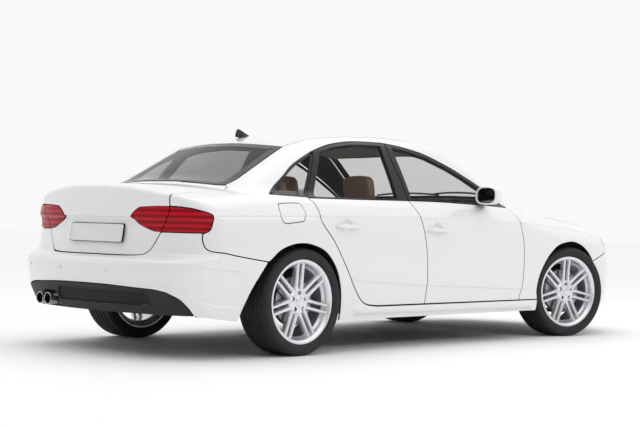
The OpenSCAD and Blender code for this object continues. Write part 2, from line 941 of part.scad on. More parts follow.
module knuckle_right() { color("gray") at_front_right() knuckle_body(); }
module knuckle_left() { color("gray") at_front_left() mirror([0, 1, 0]) knuckle_body(); }

floor_pan();
side_frames();
roof_panel();
bulkhead();
front_fenders();
front_bumper();
grille();
headlights();
rear_bumper();
rear_diffuser();
exhaust();
taillights();
windshield();
rear_window();
quarter_glass();
dashboard();
steering_wheel();
front_seats();
rear_bench();
centre_console();
engine_block();
front_axle();
rear_axle();
fuel_tank();
wheel_liners();
antenna_fin();
parcel_shelf();
hood();
trunk_lid();
lid_lamps();
front_door_left();
front_door_right();
rear_door_left();
rear_door_right();
front_glass_left();
front_glass_right();
rear_glass_left();
rear_glass_right();
mirror_left();
mirror_right();
knuckle_left();
knuckle_right();
tyre_front_left();
tyre_front_right();
tyre_rear_left();
tyre_rear_right();
rim_front_left();
rim_front_right();
rim_rear_left();
rim_rear_right();
disc_front_left();
disc_front_right();
disc_rear_left();
disc_rear_right();
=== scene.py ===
import json
import bmesh
import bpy
import numpy as np
from mathutils import Matrix, Vector
from mathutils.geometry import delaunay_2d_cdt


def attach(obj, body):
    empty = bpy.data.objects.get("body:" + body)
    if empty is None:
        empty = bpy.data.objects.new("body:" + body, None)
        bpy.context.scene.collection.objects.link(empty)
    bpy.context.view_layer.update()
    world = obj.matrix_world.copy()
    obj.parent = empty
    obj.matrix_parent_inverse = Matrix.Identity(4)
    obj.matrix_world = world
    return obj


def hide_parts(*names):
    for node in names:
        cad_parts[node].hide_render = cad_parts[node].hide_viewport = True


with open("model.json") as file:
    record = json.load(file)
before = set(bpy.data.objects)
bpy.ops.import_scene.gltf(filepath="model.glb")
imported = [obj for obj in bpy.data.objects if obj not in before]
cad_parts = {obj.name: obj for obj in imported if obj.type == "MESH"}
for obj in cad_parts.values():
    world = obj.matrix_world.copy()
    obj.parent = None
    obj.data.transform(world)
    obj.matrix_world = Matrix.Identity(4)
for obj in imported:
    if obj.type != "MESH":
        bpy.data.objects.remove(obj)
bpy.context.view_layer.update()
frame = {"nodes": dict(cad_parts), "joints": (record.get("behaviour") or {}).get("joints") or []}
for name in ("Cube", "Light", "Camera"):
    if name in bpy.data.objects:
        bpy.data.objects.remove(bpy.data.objects[name])

# A white four-door sedan car. Shapes are worked out in millimetres in the row frame, with +X to the front,
# +Y to the left and +Z up, and become metres when their mesh is made.
MM = 0.001


def joint_place(name):
    """Where a joint's axis stands, in millimetres, and which way it points."""
    joint = next(j for j in frame["joints"] if j["name"] == name)
    return np.array(joint["pos_m"]) / MM, np.array(joint["axis"], float)


# ---- The form of the body, with the same lines as the CAD part ----
def line(width, *points):
    """A body line as [station, value]: straight between points, smoothed over a width with a bell."""
    table = np.array(points, float)
    fine = np.arange(table[0, 0] - 400, table[-1, 0] + 400, 4.0)
    values = np.interp(fine, table[:, 0], table[:, 1])
    first = (table[1, 1] - table[0, 1]) / (table[1, 0] - table[0, 0])
    values[fine < table[0, 0]] = (table[0, 1] + (fine - table[0, 0]) * first)[fine < table[0, 0]]
    last = (table[-1, 1] - table[-2, 1]) / (table[-1, 0] - table[-2, 0])
    values[fine > table[-1, 0]] = (table[-1, 1] + (fine - table[-1, 0]) * last)[fine > table[-1, 0]]
    bell = np.hanning(int(width / 4) | 1)
    pad = len(bell) // 2
    smooth = np.convolve(np.pad(values, pad, mode="edge"), bell / bell.sum(), mode="valid")
    return fine[pad:-pad], smooth[pad:-pad]


def at(body_line, station):
    """The value of a body line at stations, straight between its points."""
    return np.interp(station, body_line[0], body_line[1])


half_width = line(300, [-2360, 800], [-2150, 838], [-1900, 876], [-1600, 900], [-1338, 910], [-900, 908],
                  [300, 905], [1200, 910], [1469, 911], [1750, 893], [1950, 862], [2150, 815], [2360, 740])
crease_z = line(400, [-2360, 838], [-2040, 846], [-1500, 855], [-250, 860], [400, 848], [830, 832],
                [1290, 809], [1600, 783], [1900, 735], [2360, 640])
low_crease_z = line(400, [-2360, 470], [-900, 450], [-266, 405], [825, 358], [2360, 330])
deck_z = line(120, [-2400, 985], [-2290, 1024], [-2100, 1034], [-1800, 1046], [-1700, 1050], [-1400, 1072],
              [600, 1060], [900, 1022], [1060, 994], [1320, 945], [1560, 919], [1860, 871], [2057, 828],
              [2200, 776], [2300, 712], [2400, 620])
deck_drop = line(200, [-2360, 130], [-2100, 125], [-1700, 95], [-1300, 95], [700, 110], [1000, 135],
                 [1900, 135], [2360, 150])
tail_x = line(28, [150, -2240], [260, -2262], [330, -2300], [420, -2330], [500, -2350], [560, -2351],
              [590, -2320], [610, -2258], [650, -2246], [740, -2236], [812, -2240], [830, -2256],
              [900, -2256], [960, -2264], [1000, -2268])
nose_x = line(60, [150, 2250], [220, 2310], [300, 2338], [420, 2351], [520, 2350], [620, 2318], [700, 2285],
              [760, 2240], [900, 2100])
roof_z = line(200, [-2340, 100], [-1800, 1025], [-1720, 1066], [-1500, 1180], [-1300, 1283], [-1150, 1350],
              [-1000, 1384], [-700, 1415], [-350, 1427], [0, 1418], [250, 1385], [450, 1320], [700, 1195],
              [1000, 1022], [1500, 640], [2100, 100])
cabin_y = line(300, [-2100, 640], [-1700, 735], [-1300, 795], [-700, 822], [-200, 828], [300, 818],
               [700, 790], [1000, 750], [1300, 690])
blend_r = line(200, [-2300, 70], [-1700, 60], [-1300, 40], [-1100, 14], [700, 14], [1000, 40], [1300, 40])
drop_power = line(200, [500, 2.4], [600, 2.4], [1000, 5], [1100, 5])
tail_round = line(60, [800, 120], [880, 120], [960, 34], [1000, 34])


def round_and(a, b, r):
    """The larger of two distances, with the corner between them rounded to radius r."""
    return np.minimum(np.maximum(a, b), -r) + np.hypot(np.maximum(a + r, 0), np.maximum(b + r, 0))


def ramp(t, ease):
    """Zero below zero and t above it, eased over a short stretch."""
    return (np.sqrt(t * t + ease * ease) + t) / 2


def body_form(p):
    """Distance-like value of points p, negative inside: tub, nose and tail rounded together, and a cabin."""
    x, y, z = p[..., 0], np.abs(p[..., 1]), p[..., 2]
    zc, zl = at(crease_z, x), at(low_crease_z, x)
    middle = (zc + zl) / 2
    side = (at(half_width, x) - 10 * np.minimum(np.abs(z - middle) / ((zc - zl) / 2), 1) ** 2
            - 0.62 * ramp(z - zc, 12) - 0.12 * ramp(zl - z, 10))
    deck = at(deck_z, x) - at(deck_drop, x) * (y / 850) ** at(drop_power, x)
    flanks = round_and((y - side) * 0.95, (z - deck) * 0.97, 45)
    with_nose = round_and(flanks, (x - at(nose_x, z) + 150 * (y / 700) ** 2.4) * 0.93, 150)
    tub = round_and(with_nose, (at(tail_x, z) + 95 * (y / 700) ** 2.6 - x) * 0.95, at(tail_round, z))
    bow = x + np.where(x > -350, 1, -1) * 110 * (y / 700) ** 2 * np.minimum(np.abs(x + 350) / 900, 1)
    wall = at(cabin_y, x) - 0.36 * np.abs(z - 950) - 0.00034 * np.maximum(z - 950, 0) ** 2
    cabin = round_and((y - wall) * 0.89, (z - at(roof_z, bow) + 34 * (y / 600) ** 2) * 0.9, 55)
    return -round_and(-tub, -cabin, at(blend_r, x))


def cast(origin, direction, low=20, high=1500):
    """Points where rays leave the form, by halving the stretch between low and high."""
    a = np.full(len(origin), float(low))
    b = np.full(len(origin), float(high))
    for _ in range(24):
        m = (a + b) / 2
        inside = body_form(origin + direction * m[:, None]) < 0
        a = np.where(inside, m, a)
        b = np.where(inside, b, m)
    return origin + direction * ((a + b) / 2)[:, None]


def unit(vectors):
    """The same directions with a length of one."""
    return vectors / np.linalg.norm(vectors, axis=-1, keepdims=True)


def form_normal(p):
    """Outward normals of the form, from its slope over 3 mm each way."""
    return unit(np.stack([body_form(p + s) - body_form(p - s) for s in np.eye(3) * 3], -1))


# Each chart turns two sheet coordinates into rays: ring for sides and roof, tail_wrap and nose_wrap for the
# ends, lid_fan for the trunk lid. Angles are scaled to millimetres of arc. Past END_X the rays of ring
# tilt outwards.
AXIS_Z = 560
ARC = 800
END_X = 1650
FAN_X, FAN_Z = -1900, 700
# Where rays to the top and to the ends start, well inside the form
INSIDE_X, INSIDE_Z = 1500, 500


def ring(uv):
    """Rays out of the lengthwise axis: the first coordinate is the station, the second the arc round it."""
    angle = uv[:, 1] / ARC
    tilt = np.maximum(np.abs(uv[:, 0]) - END_X, 0) / ARC * np.sign(uv[:, 0])
    zero = np.zeros(len(uv))
    return (np.stack([np.clip(uv[:, 0], -END_X, END_X), zero, zero + AXIS_Z], 1),
            np.stack([np.sin(tilt), -np.cos(tilt) * np.cos(angle), np.cos(tilt) * np.sin(angle)], 1))


def tail_wrap(uv):
    """Level rays out of an upright axis near the tail: arc round it, then height."""
    angle = uv[:, 0] / ARC
    zero = np.zeros(len(uv))
    return (np.stack([zero - END_X, zero, uv[:, 1]], 1),
            np.stack([-np.cos(angle), np.sin(angle), zero], 1))


def nose_wrap(uv):
    """Level rays out of an upright axis near the nose: arc round it, then height."""
    angle = uv[:, 0] / ARC
    zero = np.zeros(len(uv))
    return (np.stack([zero + END_X, zero, uv[:, 1]], 1),
            np.stack([np.cos(angle), np.sin(angle), zero], 1))


def lid_fan(uv):
    """Rays out of a crosswise axis under the trunk lid: place along it, then arc round it."""
    angle = uv[:, 1] / ARC
    zero = np.zeros(len(uv))
    return (np.stack([zero + FAN_X, uv[:, 0], zero + FAN_Z], 1),
            np.stack([np.cos(angle), zero, np.sin(angle)], 1))


def chart_of(chart, p):
    """Sheet coordinates of points p on the form, the other way round from the chart."""
    if chart is ring:
        over = np.abs(p[:, 0]) - END_X
        tilt = np.arctan2(over, np.hypot(p[:, 1], p[:, 2] - AXIS_Z))
        station = np.where(over > 0, np.sign(p[:, 0]) * (END_X + ARC * tilt), p[:, 0])
        return np.stack([station, ARC * np.arctan2(p[:, 2] - AXIS_Z, -p[:, 1])], 1)
    if chart is lid_fan:
        angle = np.arctan2(p[:, 2] - FAN_Z, p[:, 0] - FAN_X)
        return np.stack([p[:, 1], ARC * np.where(angle < -1.6, angle + 2 * np.pi, angle)], 1)
    away = -p[:, 0] - END_X if chart is tail_wrap else p[:, 0] - END_X
    return np.stack([ARC * np.arctan2(p[:, 1], away), p[:, 2]], 1)


def put_on(starts, way):
    """Points on the form, from starting points inside it and one way out."""
    return cast(starts, np.broadcast_to(np.array(way, float), starts.shape))


def on_side(points):
    """[x, z] points seen from the right, put on the right side of the form."""
    q = np.array(points, float)
    return put_on(np.stack([q[:, 0], 0 * q[:, 0], q[:, 1]], 1), [0, -1, 0])


def on_top(points):
    """[x, y] points seen from above, put on the top of the form."""
    q = np.array(points, float)
    return put_on(np.stack([q[:, 0], q[:, 1], 0 * q[:, 0] + INSIDE_Z], 1), [0, 0, 1])


def on_tail(points):
    """[y, z] points seen from behind, put on the tail of the form."""
    q = np.array(points, float)
    return put_on(np.stack([0 * q[:, 0] - INSIDE_X, q[:, 0], q[:, 1]], 1), [-1, 0, 0])


def on_nose(points):
    """[y, z] points seen from in front, put on the nose of the form."""
    q = np.array(points, float)
    return put_on(np.stack([0 * q[:, 0] + INSIDE_X, q[:, 0], q[:, 1]], 1), [1, 0, 0])


def curve(points, spacing=12):
    """A smooth curve through 2-D points: cubic between them, each slope from the neighbours beside it."""
    q = np.array(points, float)
    if len(q) < 3:
        return straight(q, spacing)
    slopes = np.gradient(q, axis=0)
    pieces = []
    for a, b, ma, mb in zip(q[:-1], q[1:], slopes[:-1], slopes[1:]):
        n = max(2, int(np.linalg.norm(b - a) / spacing) + 1)
        t = np.linspace(0, 1, n, endpoint=False)[:, None]
        pieces.append((2 * t ** 3 - 3 * t ** 2 + 1) * a + (t ** 3 - 2 * t ** 2 + t) * ma
                      + (3 * t ** 2 - 2 * t ** 3) * b + (t ** 3 - t ** 2) * mb)
    return np.concatenate(pieces + [q[-1:]])


def straight(points, spacing=12):
    """A polyline with its straight stretches divided evenly."""
    q = np.array(points, float)
    pieces = []
    for a, b in zip(q[:-1], q[1:]):
        n = max(1, int(np.linalg.norm(b - a) / spacing) + 1)
        pieces.append(a + (b - a) * np.linspace(0, 1, n, endpoint=False)[:, None])
    return np.concatenate(pieces + [q[-1:]])


def outline(chart, *stretches, corner=10):
    """Joins stretches of points into one closed outline in the chart, evenly spaced, with eased corners."""
    loop = chart_of(chart, np.concatenate(stretches))
    keep = np.linalg.norm(loop - np.roll(loop, 1, axis=0), axis=1) > 1.5
    loop = loop[keep]
    loop = straight(np.concatenate([loop, loop[:1]]), 7)[:-1]
    for _ in range(int(corner / 5)):
        loop = (np.roll(loop, 1, axis=0) + 2 * loop + np.roll(loop, -1, axis=0)) / 4
    return loop if area(loop) > 0 else loop[::-1]


def area(loop):
    """The area inside a closed loop, positive anticlockwise: half the sum of its cross products."""
    x, y = loop[:, 0], loop[:, 1]
    return 0.5 * np.sum(x * np.roll(y, -1) - np.roll(x, -1) * y)


def inset(loop, distance):
    """The outline drawn in by a distance, along the normals of its edge."""
    along = np.roll(loop, -1, axis=0) - np.roll(loop, 1, axis=0)
    normal = np.stack([-along[:, 1], along[:, 0]], 1) / np.linalg.norm(along, axis=1, keepdims=True)
    return loop + normal * distance


def inside_loop(points, loop):
    """Which points lie inside a closed loop, by counting crossings of a ray."""
    x, y = points[:, 0][:, None], points[:, 1][:, None]
    x0, y0 = loop[:, 0], loop[:, 1]
    x1, y1 = np.roll(x0, -1), np.roll(y0, -1)
    crosses = (y0 > y) != (y1 > y)
    with np.errstate(divide="ignore", invalid="ignore"):
        hit = x < (x1 - x0) * (y - y0) / (y1 - y0) + x0
    return np.sum(crosses & hit, axis=1) % 2 == 1


def near_loop(points, loop, reach):
    """Which points lie closer to the loop's own points than reach."""
    found = np.zeros(len(points), bool)
    for start in range(0, len(points), 2000):
        gap = np.linalg.norm(points[start:start + 2000, None] - loop[None], axis=2).min(1)
        found[start:start + 2000] = gap < reach
    return found


def fold(points, height, rise, fall=1e6):
    """A crease line: the panel below it stands out by height over a step of rise, fading over fall."""
    return np.asarray(points), height, rise, fall


def pressed(chart, uv, folds, dents):
    """The form at chart places, moved along its normal by every fold and dent.

    A fold moves it by height times half of one plus the hyperbolic tangent of the distance below its line
    over rise, times a decay over fall, and fades in from both its ends. A dent moves it in by a raised
    cosine, flat near its centre. In lid_fan the arc grows downwards over the tail, so the distance below
    a line changes its sign.
    """
    p = cast(*chart(uv))
    n = form_normal(p)
    push = np.zeros(len(p))
    for points, height, rise, fall in folds:
        track = chart_of(chart, points)
        track = track[np.argsort(track[:, 0])]
        below = np.interp(uv[:, 0], track[:, 0], track[:, 1]) - uv[:, 1]
        if chart is lid_fan:
            below = -below
        ends = np.clip(np.minimum(uv[:, 0] - track[0, 0], track[-1, 0] - uv[:, 0]) / 60, 0, 1)
        push += height * ends * (1 + np.tanh(below / rise)) / 2 * np.exp(-np.maximum(below, 0) / fall)
    for centre, radius, depth in dents:
        part = np.clip((np.linalg.norm(p - centre, axis=1) / radius - 0.35) / 0.65, 0, 1)
        push -= depth * (1 + np.cos(np.pi * part)) / 2
    return p + n * push[:, None], n


def pressed_normals(chart, uv, folds, dents, outward):
    """Normals from central differences of the pressed form over one millimetre of its chart."""
    du, dv = np.array([0.5, 0]), np.array([0, 0.5])
    a = pressed(chart, uv + du, folds, dents)[0] - pressed(chart, uv - du, folds, dents)[0]
    b = pressed(chart, uv + dv, folds, dents)[0] - pressed(chart, uv - dv, folds, dents)[0]
    n = unit(np.cross(a, b))
    return n * np.sign(np.sum(n * outward, axis=1, keepdims=True))


def fill(chart, loop, holes, step, folds, dents=()):
    """Points and triangles that fill an outline: an even grid, with rows beside folds and rings in dents."""
    low, high = loop.min(0), loop.max(0)
    columns = np.arange(low[0] + step / 2, high[0], step)
    rows = np.arange(low[1] + step / 2, high[1], step * 0.9)
    u, v = np.meshgrid(columns, rows)
    u = u + (np.arange(len(rows)) % 2)[:, None] * step / 2
    inner = np.stack([u.ravel(), v.ravel()], 1)
    for points, _, rise, _ in folds:
        track = chart_of(chart, points)
        track = track[np.argsort(track[:, 0])]
        stations = np.arange(max(low[0], track[0, 0] - 40), min(high[0], track[-1, 0] + 40), step * 0.8)
        if not len(stations):
            continue
        centre = np.stack([stations, np.interp(stations, track[:, 0], track[:, 1])], 1)
        inner = inner[~near_loop(inner, centre, 26)]
        offsets = (-26, -16, -3 * rise, -2 * rise, -rise, -rise / 2, 0,
                   rise / 2, rise, 2 * rise, 3 * rise, 16, 26)
        inner = np.concatenate([inner] + [centre + [0, offset] for offset in sorted(set(offsets))])
    for centre, radius, _ in dents:
        spot = chart_of(chart, centre[None])
        inner = inner[np.linalg.norm(inner - spot, axis=1) > radius * 1.12]
        turn, away = np.meshgrid(np.linspace(0, 2 * np.pi, 28, endpoint=False),
                                 np.linspace(0.12, 1.06, 11) * radius)
        inner = np.concatenate([inner, spot + np.stack([away * np.cos(turn), away * np.sin(turn)],
                                                       -1).reshape(-1, 2)])
    inner = inner[inside_loop(inner, loop)]
    for hole in holes:
        inner = inner[~inside_loop(inner, hole)]
    for edge in [loop, *holes]:
        inner = inner[~near_loop(inner, edge, min(6.0, step * 0.45))]
    points = np.concatenate([loop, *holes, inner])
    faces, start = [], 0
    for edge in [loop, *holes]:
        faces.append(list(range(start, start + len(edge))))
        start += len(edge)
    verts, _, tris, _, _, _ = delaunay_2d_cdt([Vector(p) for p in points], [], faces, 1, 1e-4)
    verts, tris = np.array([tuple(v) for v in verts]), np.array(tris)
    for hole in holes:
        tris = tris[~inside_loop(verts[tris].mean(1), hole)]
    return verts, tris.tolist()


def open_edges(tris):
    """The directed edges that only one triangle has."""
    edges = {(t[i], t[(i + 1) % 3]) for t in tris for i in range(3)}
    return [(a, b) for a, b in edges if (b, a) not in edges]


def unpinched(tris):
    """Drops the triangles round a point where the sheet's edge touches itself, until none is left."""
    while True:
        starts = [edge[0] for edge in open_edges(tris)]
        pinched = {a for a in starts if starts.count(a) > 1} if len(set(starts)) < len(starts) else set()
        if not pinched:
            return tris
        tris = [t for t in tris if not pinched & set(t)]


def hollow_loops(tris):
    """The closed boundary loops of a triangle list, each as vertex numbers in order."""
    after = {}
    for a, b in open_edges(tris):
        after[a] = b
    loops = []
    while after:
        first = next(iter(after))
        loop, here = [first], after.pop(first)
        while here != first and here in after:
            loop.append(here)
            here = after.pop(here)
        loops.append(np.array(loop))
    return loops


LIP = 2.6


def sheet(name, chart, loop, holes=(), step=26, depth=12.0, folds=(), lift=0.0, inner=None, mirrored=False,
          dents=()):
    """A body sheet: the form inside an outline, with a rounded edge turned in and a back wall behind it.

    Every edge point moves in by the lip, turns a quarter circle of that radius and runs straight back. The
    sheet's own face has the piece's first finish, its walls and back have the second.
    """
    uv, tris = fill(chart, loop, holes, step, folds, dents)
    tris = unpinched(tris)
    p, n = pressed(chart, uv, folds, dents)
    if folds or dents:
        n = pressed_normals(chart, uv, folds, dents, n)
    p = p + n * lift
    if np.dot(np.cross(p[tris[0][1]] - p[tris[0][0]], p[tris[0][2]] - p[tris[0][0]]), n[tris[0][0]]) < 0:
        tris = [t[::-1] for t in tris]
    back = p - n * depth if inner is None else inner(p, n)
    verts, normals = [p.copy()], [n]
    count = len(p)
    faces = [tuple(t) for t in tris]
    back_start = count
    verts.append(back)
    normals.append(-n)
    back_faces = [tuple(i + back_start for i in t[::-1]) for t in tris]
    count += len(p)
    walls = []
    for ids in hollow_loops(tris):
        edge, nn = p[ids], n[ids]
        along = np.roll(edge, -1, axis=0) - np.roll(edge, 1, axis=0)
        along /= np.maximum(np.linalg.norm(along, axis=1, keepdims=True), 1e-9)
        out = np.cross(along, nn)
        verts[0][ids] = edge - out * LIP
        rings = [ids]
        for angle in (np.pi / 6, np.pi / 3, np.pi / 2):
            row = edge - out * LIP * (1 - np.sin(angle)) - nn * LIP * (1 - np.cos(angle))
            verts.append(row)
            normals.append(nn * np.cos(angle) + out * np.sin(angle))
            rings.append(np.arange(count, count + len(ids)))
            count += len(ids)
        rings.append(ids + back_start)
        for k, (r0, r1) in enumerate(zip(rings[:-1], rings[1:])):
            quads = np.stack([r0, r1, np.roll(r1, -1), np.roll(r0, -1)], 1)
            (faces if k < 3 else walls).extend(map(tuple, quads))
    smooth = len(faces)
    points = np.concatenate(verts)
    directions = np.concatenate(normals)
    if mirrored:
        points = points * [1, -1, 1]
        directions = directions * [1, -1, 1]
        faces = [f[::-1] for f in faces]
        back_faces = [f[::-1] for f in back_faces]
        walls = [f[::-1] for f in walls]
    piece = make_mesh(name, points, faces + back_faces + walls, directions, smooth)
    # Walls and back take the second finish; on the painted body panels this is the dark gap finish, painted
    # shade in the shut lines.
    second = np.arange(len(piece.data.polygons)) >= smooth
    piece.data.polygons.foreach_set("material_index", second.astype(np.int32))
    return piece


def make_mesh(name, points, faces, normals=None, smooth_count=None):
    """Puts points in millimetres and faces into a mesh object; the first faces take the given normals."""
    mesh = bpy.data.meshes.new(name)
    mesh.from_pydata((np.asarray(points) * MM).tolist(), [], [tuple(int(i) for i in f) for f in faces])
    mesh.update()
    thing = bpy.data.objects.new(name, mesh)
    bpy.context.scene.collection.objects.link(thing)
    mesh.polygons.foreach_set("use_smooth", np.ones(len(mesh.polygons), bool))
    if normals is None:
        mesh.set_sharp_from_angle(angle=np.radians(38))
    else:
        loops = np.empty(len(mesh.loops), np.int32)
        mesh.loops.foreach_get("vertex_index", loops)
        totals = np.empty(len(mesh.polygons), np.int32)
        mesh.polygons.foreach_get("loop_total", totals)
        chosen = np.asarray(normals)[loops].astype(float)
        chosen[int(totals[:smooth_count].sum()):] = 0
        mesh.set_sharp_from_angle(angle=np.radians(30))
        mesh.normals_split_custom_set(chosen.tolist())
    return thing


# ---- Finishes ----
def added(nodes, kind, values=(), **settings):
    """A new shader node: first its settings, then the values of its inputs."""
    made = nodes.new("ShaderNode" + kind)
    for key, value in settings.items():
        setattr(made, key, value)
    for key, value in dict(values).items():
        made.inputs[key].default_value = value
    return made


def raised(nodes, links, shader, height, strength, distance):
    """Bends the shader's normals by the slope of a height."""
    bump = added(nodes, "Bump", {"Strength": strength, "Distance": distance})
    links.new(height, bump.inputs["Height"])
    links.new(bump.outputs["Normal"], shader.inputs["Normal"])
    return bump


def finish(name, colour, roughness, metallic=0.0, coat=0.0, coat_roughness=0.03, alpha=1.0, ior=1.5,
           tint=0.04, tint_scale=3.0, rough_spread=0.06, grain=0.0, grain_scale=400.0, pattern=None):
    """A procedural finish: noise varies its colour and roughness, and a finer noise gives its grain."""
    m = bpy.data.materials.new(name)
    m.use_nodes = True
    nodes, links = m.node_tree.nodes, m.node_tree.links
    shader = nodes["Principled BSDF"]
    where = added(nodes, "TexCoord")
    cloud = added(nodes, "TexNoise", {"Scale": tint_scale, "Detail": 5})
    links.new(where.outputs["Object"], cloud.inputs["Vector"])
    shade = added(nodes, "Mix", {"A": [c * (1 - tint) for c in colour] + [1],
                                 "B": [min(1, c * (1 + tint)) for c in colour] + [1]}, data_type="RGBA")
    links.new(cloud.outputs["Fac"], shade.inputs["Factor"])
    links.new(shade.outputs["Result"], shader.inputs["Base Color"])
    spread = added(nodes, "MapRange", {"To Min": max(0.01, roughness - rough_spread),
                                       "To Max": roughness + rough_spread})
    links.new(cloud.outputs["Fac"], spread.inputs["Value"])
    links.new(spread.outputs["Result"], shader.inputs["Roughness"])
    for socket, value in (("Metallic", metallic), ("Coat Weight", coat), ("Coat Roughness", coat_roughness),
                          ("Alpha", alpha), ("IOR", ior)):
        shader.inputs[socket].default_value = value
    if grain:
        fine = added(nodes, "TexNoise", {"Scale": grain_scale, "Detail": 3})
        links.new(where.outputs["Object"], fine.inputs["Vector"])
        raised(nodes, links, shader, fine.outputs["Fac"], grain, 0.001)
    if pattern:
        pattern(nodes, links, where, shader, shade)
    return m


def lamp_ribs(nodes, links, where, shader, shade):
    """Light bands across a lamp, repeated with height, behind its smooth cover."""
    bands = added(nodes, "TexWave", {"Scale": 9, "Distortion": 0.4}, bands_direction="Z")
    links.new(where.outputs["Object"], bands.inputs["Vector"])
    glow = added(nodes, "Mix", {"B": (0.50, 0.006, 0.016, 1)}, data_type="RGBA")
    links.new(bands.outputs["Fac"], glow.inputs["Factor"])
    links.new(shade.outputs["Result"], glow.inputs["A"])
    links.new(glow.outputs["Result"], shader.inputs["Base Color"])


def spun_rings(nodes, links, where, shader, shade):
    """Fine turning marks: a shallow bump from fine noise."""
    fine = added(nodes, "TexNoise", {"Scale": 900})
    links.new(where.outputs["Object"], fine.inputs["Vector"])
    raised(nodes, links, shader, fine.outputs["Fac"], 0.25, 0.0005)


def hide_grain(nodes, links, where, shader, shade):
    """Leather: small cells raised over the hide, with a darker crease between them."""
    cells = added(nodes, "TexVoronoi", {"Scale": 260})
    links.new(where.outputs["Object"], cells.inputs["Vector"])
    raised(nodes, links, shader, cells.outputs["Distance"], 0.4, 0.001).invert = True


PAINT = finish("white_car_paint", (0.78, 0.79, 0.80), 0.3, coat=1.0, tint=0.012, tint_scale=1.2, grain=0.04,
               grain_scale=900)
GLOSS_BLACK = finish("gloss_black_trim", (0.007, 0.007, 0.008), 0.2, coat=0.25, ior=1.35, tint=0.2,
                     grain=0.02)
SATIN_BLACK = finish("satin_black_plastic", (0.022, 0.022, 0.024), 0.5, tint=0.25, tint_scale=30, grain=0.35)
GREY_PLASTIC = finish("dark_grey_plastic", (0.020, 0.021, 0.023), 0.55, ior=1.35, tint=0.15, tint_scale=20,
                      grain=0.3)
GLASS = finish("tinted_window_glass", (0.018, 0.022, 0.022), 0.03, alpha=0.13, ior=1.45, tint=0.3,
               rough_spread=0.01)
DARK_GLASS = finish("dark_window_glass", (0.010, 0.012, 0.013), 0.03, alpha=0.5, ior=1.4, tint=0.3,
                    rough_spread=0.01)
RED_LAMP = finish("red_lamp_cover", (0.20, 0.002, 0.007), 0.14, coat=0.12, ior=1.2, tint=0.3, tint_scale=14,
                  pattern=lamp_ribs)
CLEAR_LAMP = finish("clear_lamp_cover", (0.45, 0.47, 0.49), 0.08, coat=1.0, alpha=0.35, tint=0.1)
REFLECTOR = finish("lamp_reflector", (0.75, 0.76, 0.78), 0.14, metallic=1.0, tint=0.08, tint_scale=20)
ALLOY = finish("bright_silver_alloy", (0.74, 0.75, 0.77), 0.26, metallic=0.75, coat=0.4, tint=0.05,
               grain=0.03)
RUBBER = finish("tyre_rubber_black", (0.012, 0.012, 0.013), 0.75, tint=0.35, tint_scale=9, grain=0.5,
                grain_scale=260)
DISC = finish("turned_brake_iron", (0.42, 0.42, 0.43), 0.34, metallic=1.0, tint=0.2, tint_scale=12,
              pattern=spun_rings)
CHROME = finish("polished_steel", (0.72, 0.72, 0.73), 0.12, metallic=1.0, tint=0.05, tint_scale=18)
CAST = finish("cast_aluminium_parts", (0.33, 0.34, 0.35), 0.52, metallic=0.8, tint=0.2, tint_scale=25,
              grain=0.5)
UNDERCOAT = finish("underbody_coating", (0.028, 0.028, 0.030), 0.8, tint=0.3, tint_scale=12, grain=0.6,
                   grain_scale=150)
STEEL = finish("painted_chassis_steel", (0.07, 0.072, 0.075), 0.5, metallic=0.4, tint=0.25, tint_scale=10,
               grain=0.3)
LEATHER = finish("tan_seat_leather", (0.42, 0.25, 0.19), 0.5, tint=0.12, tint_scale=7, pattern=hide_grain)
CABIN = finish("soft_cabin_plastic", (0.045, 0.043, 0.043), 0.6, tint=0.2, tint_scale=14, grain=0.45)
LINING = finish("pale_cabin_lining", (0.45, 0.42, 0.38), 0.85, tint=0.08, tint_scale=60, grain=0.5,
                grain_scale=500)
PLATE = finish("blank_plate", (0.72, 0.73, 0.74), 0.35, tint=0.03, tint_scale=6, grain=0.05)
MIRROR = finish("mirror_glass", (0.10, 0.11, 0.12), 0.03, metallic=1.0, tint=0.05, rough_spread=0.01)
# Painted shade: the walls and backs of the painted body panels take this dark finish in place of the shade
# that falls in the shut lines between the panels.
GAP_SHADE = finish("painted_gap_shade", (0.03, 0.03, 0.032), 0.7, tint=0.2, tint_scale=20, grain=0.3)
PAPER = finish("pale_studio_floor", (0.90, 0.90, 0.91), 0.65, tint=0.01, tint_scale=0.6)


def dress(piece, material, body, slot, *replaced, back=None):
    """Gives a piece its finish, the body that it moves with and the nodes that it stands for; its slot is not
    used.
    """
    piece.data.materials.append(material)
    piece.data.materials.append(back or material)
    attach(piece, body)
    if replaced:
        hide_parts(*replaced)
    return piece


# ---- Shut lines on the right side and the right half, as points on the form ----
def joined(half):
    """A line from the middle of the car outwards, carried over from its mirror image on the other half."""
    return np.concatenate([(half * [1, -1, 1])[::-1], half])


door_foot_rear = on_side(straight([[-660, 286], [-190, 285]]))
door_foot_front = on_side(straight([[-190, 285], [832, 283]]))
split_low = on_side(curve([[-190, 285], [-181, 406], [-195, 589], [-216, 732], [-252, 859], [-298, 971]]))
split_high = on_side(curve([[-298, 971], [-320, 1110], [-338, 1240], [-335, 1352]]))
rear_door_edge = on_side(curve([[-660, 286], [-757, 299], [-825, 341], [-903, 440], [-998, 577], [-1086, 701],
                                [-1191, 824], [-1207, 917], [-1238, 969]]))
rear_frame_edge = on_side(curve([[-1238, 969], [-1128, 1129], [-1039, 1273]]))
top_rear = on_side(curve([[-1039, 1273], [-872, 1320], [-654, 1350], [-403, 1354], [-335, 1352]]))
top_front = on_side(curve([[-335, 1352], [-173, 1332], [31, 1291], [226, 1222], [358, 1165], [552, 1073],
                           [775, 941]]))
belt_front = on_side(curve([[-298, 971], [0, 969], [300, 961], [600, 950], [775, 941]]))
belt_rear = on_side(curve([[-1238, 969], [-800, 969], [-298, 971]]))
front_door_edge = on_side(curve([[775, 941], [828, 855], [845, 779], [863, 659], [859, 406], [832, 283]]))
fender_foot = on_side(straight([[832, 283], [1050, 283]]))
front_arch_rear = on_side(curve([[1045, 200], [1052, 240], [1050, 283]]))
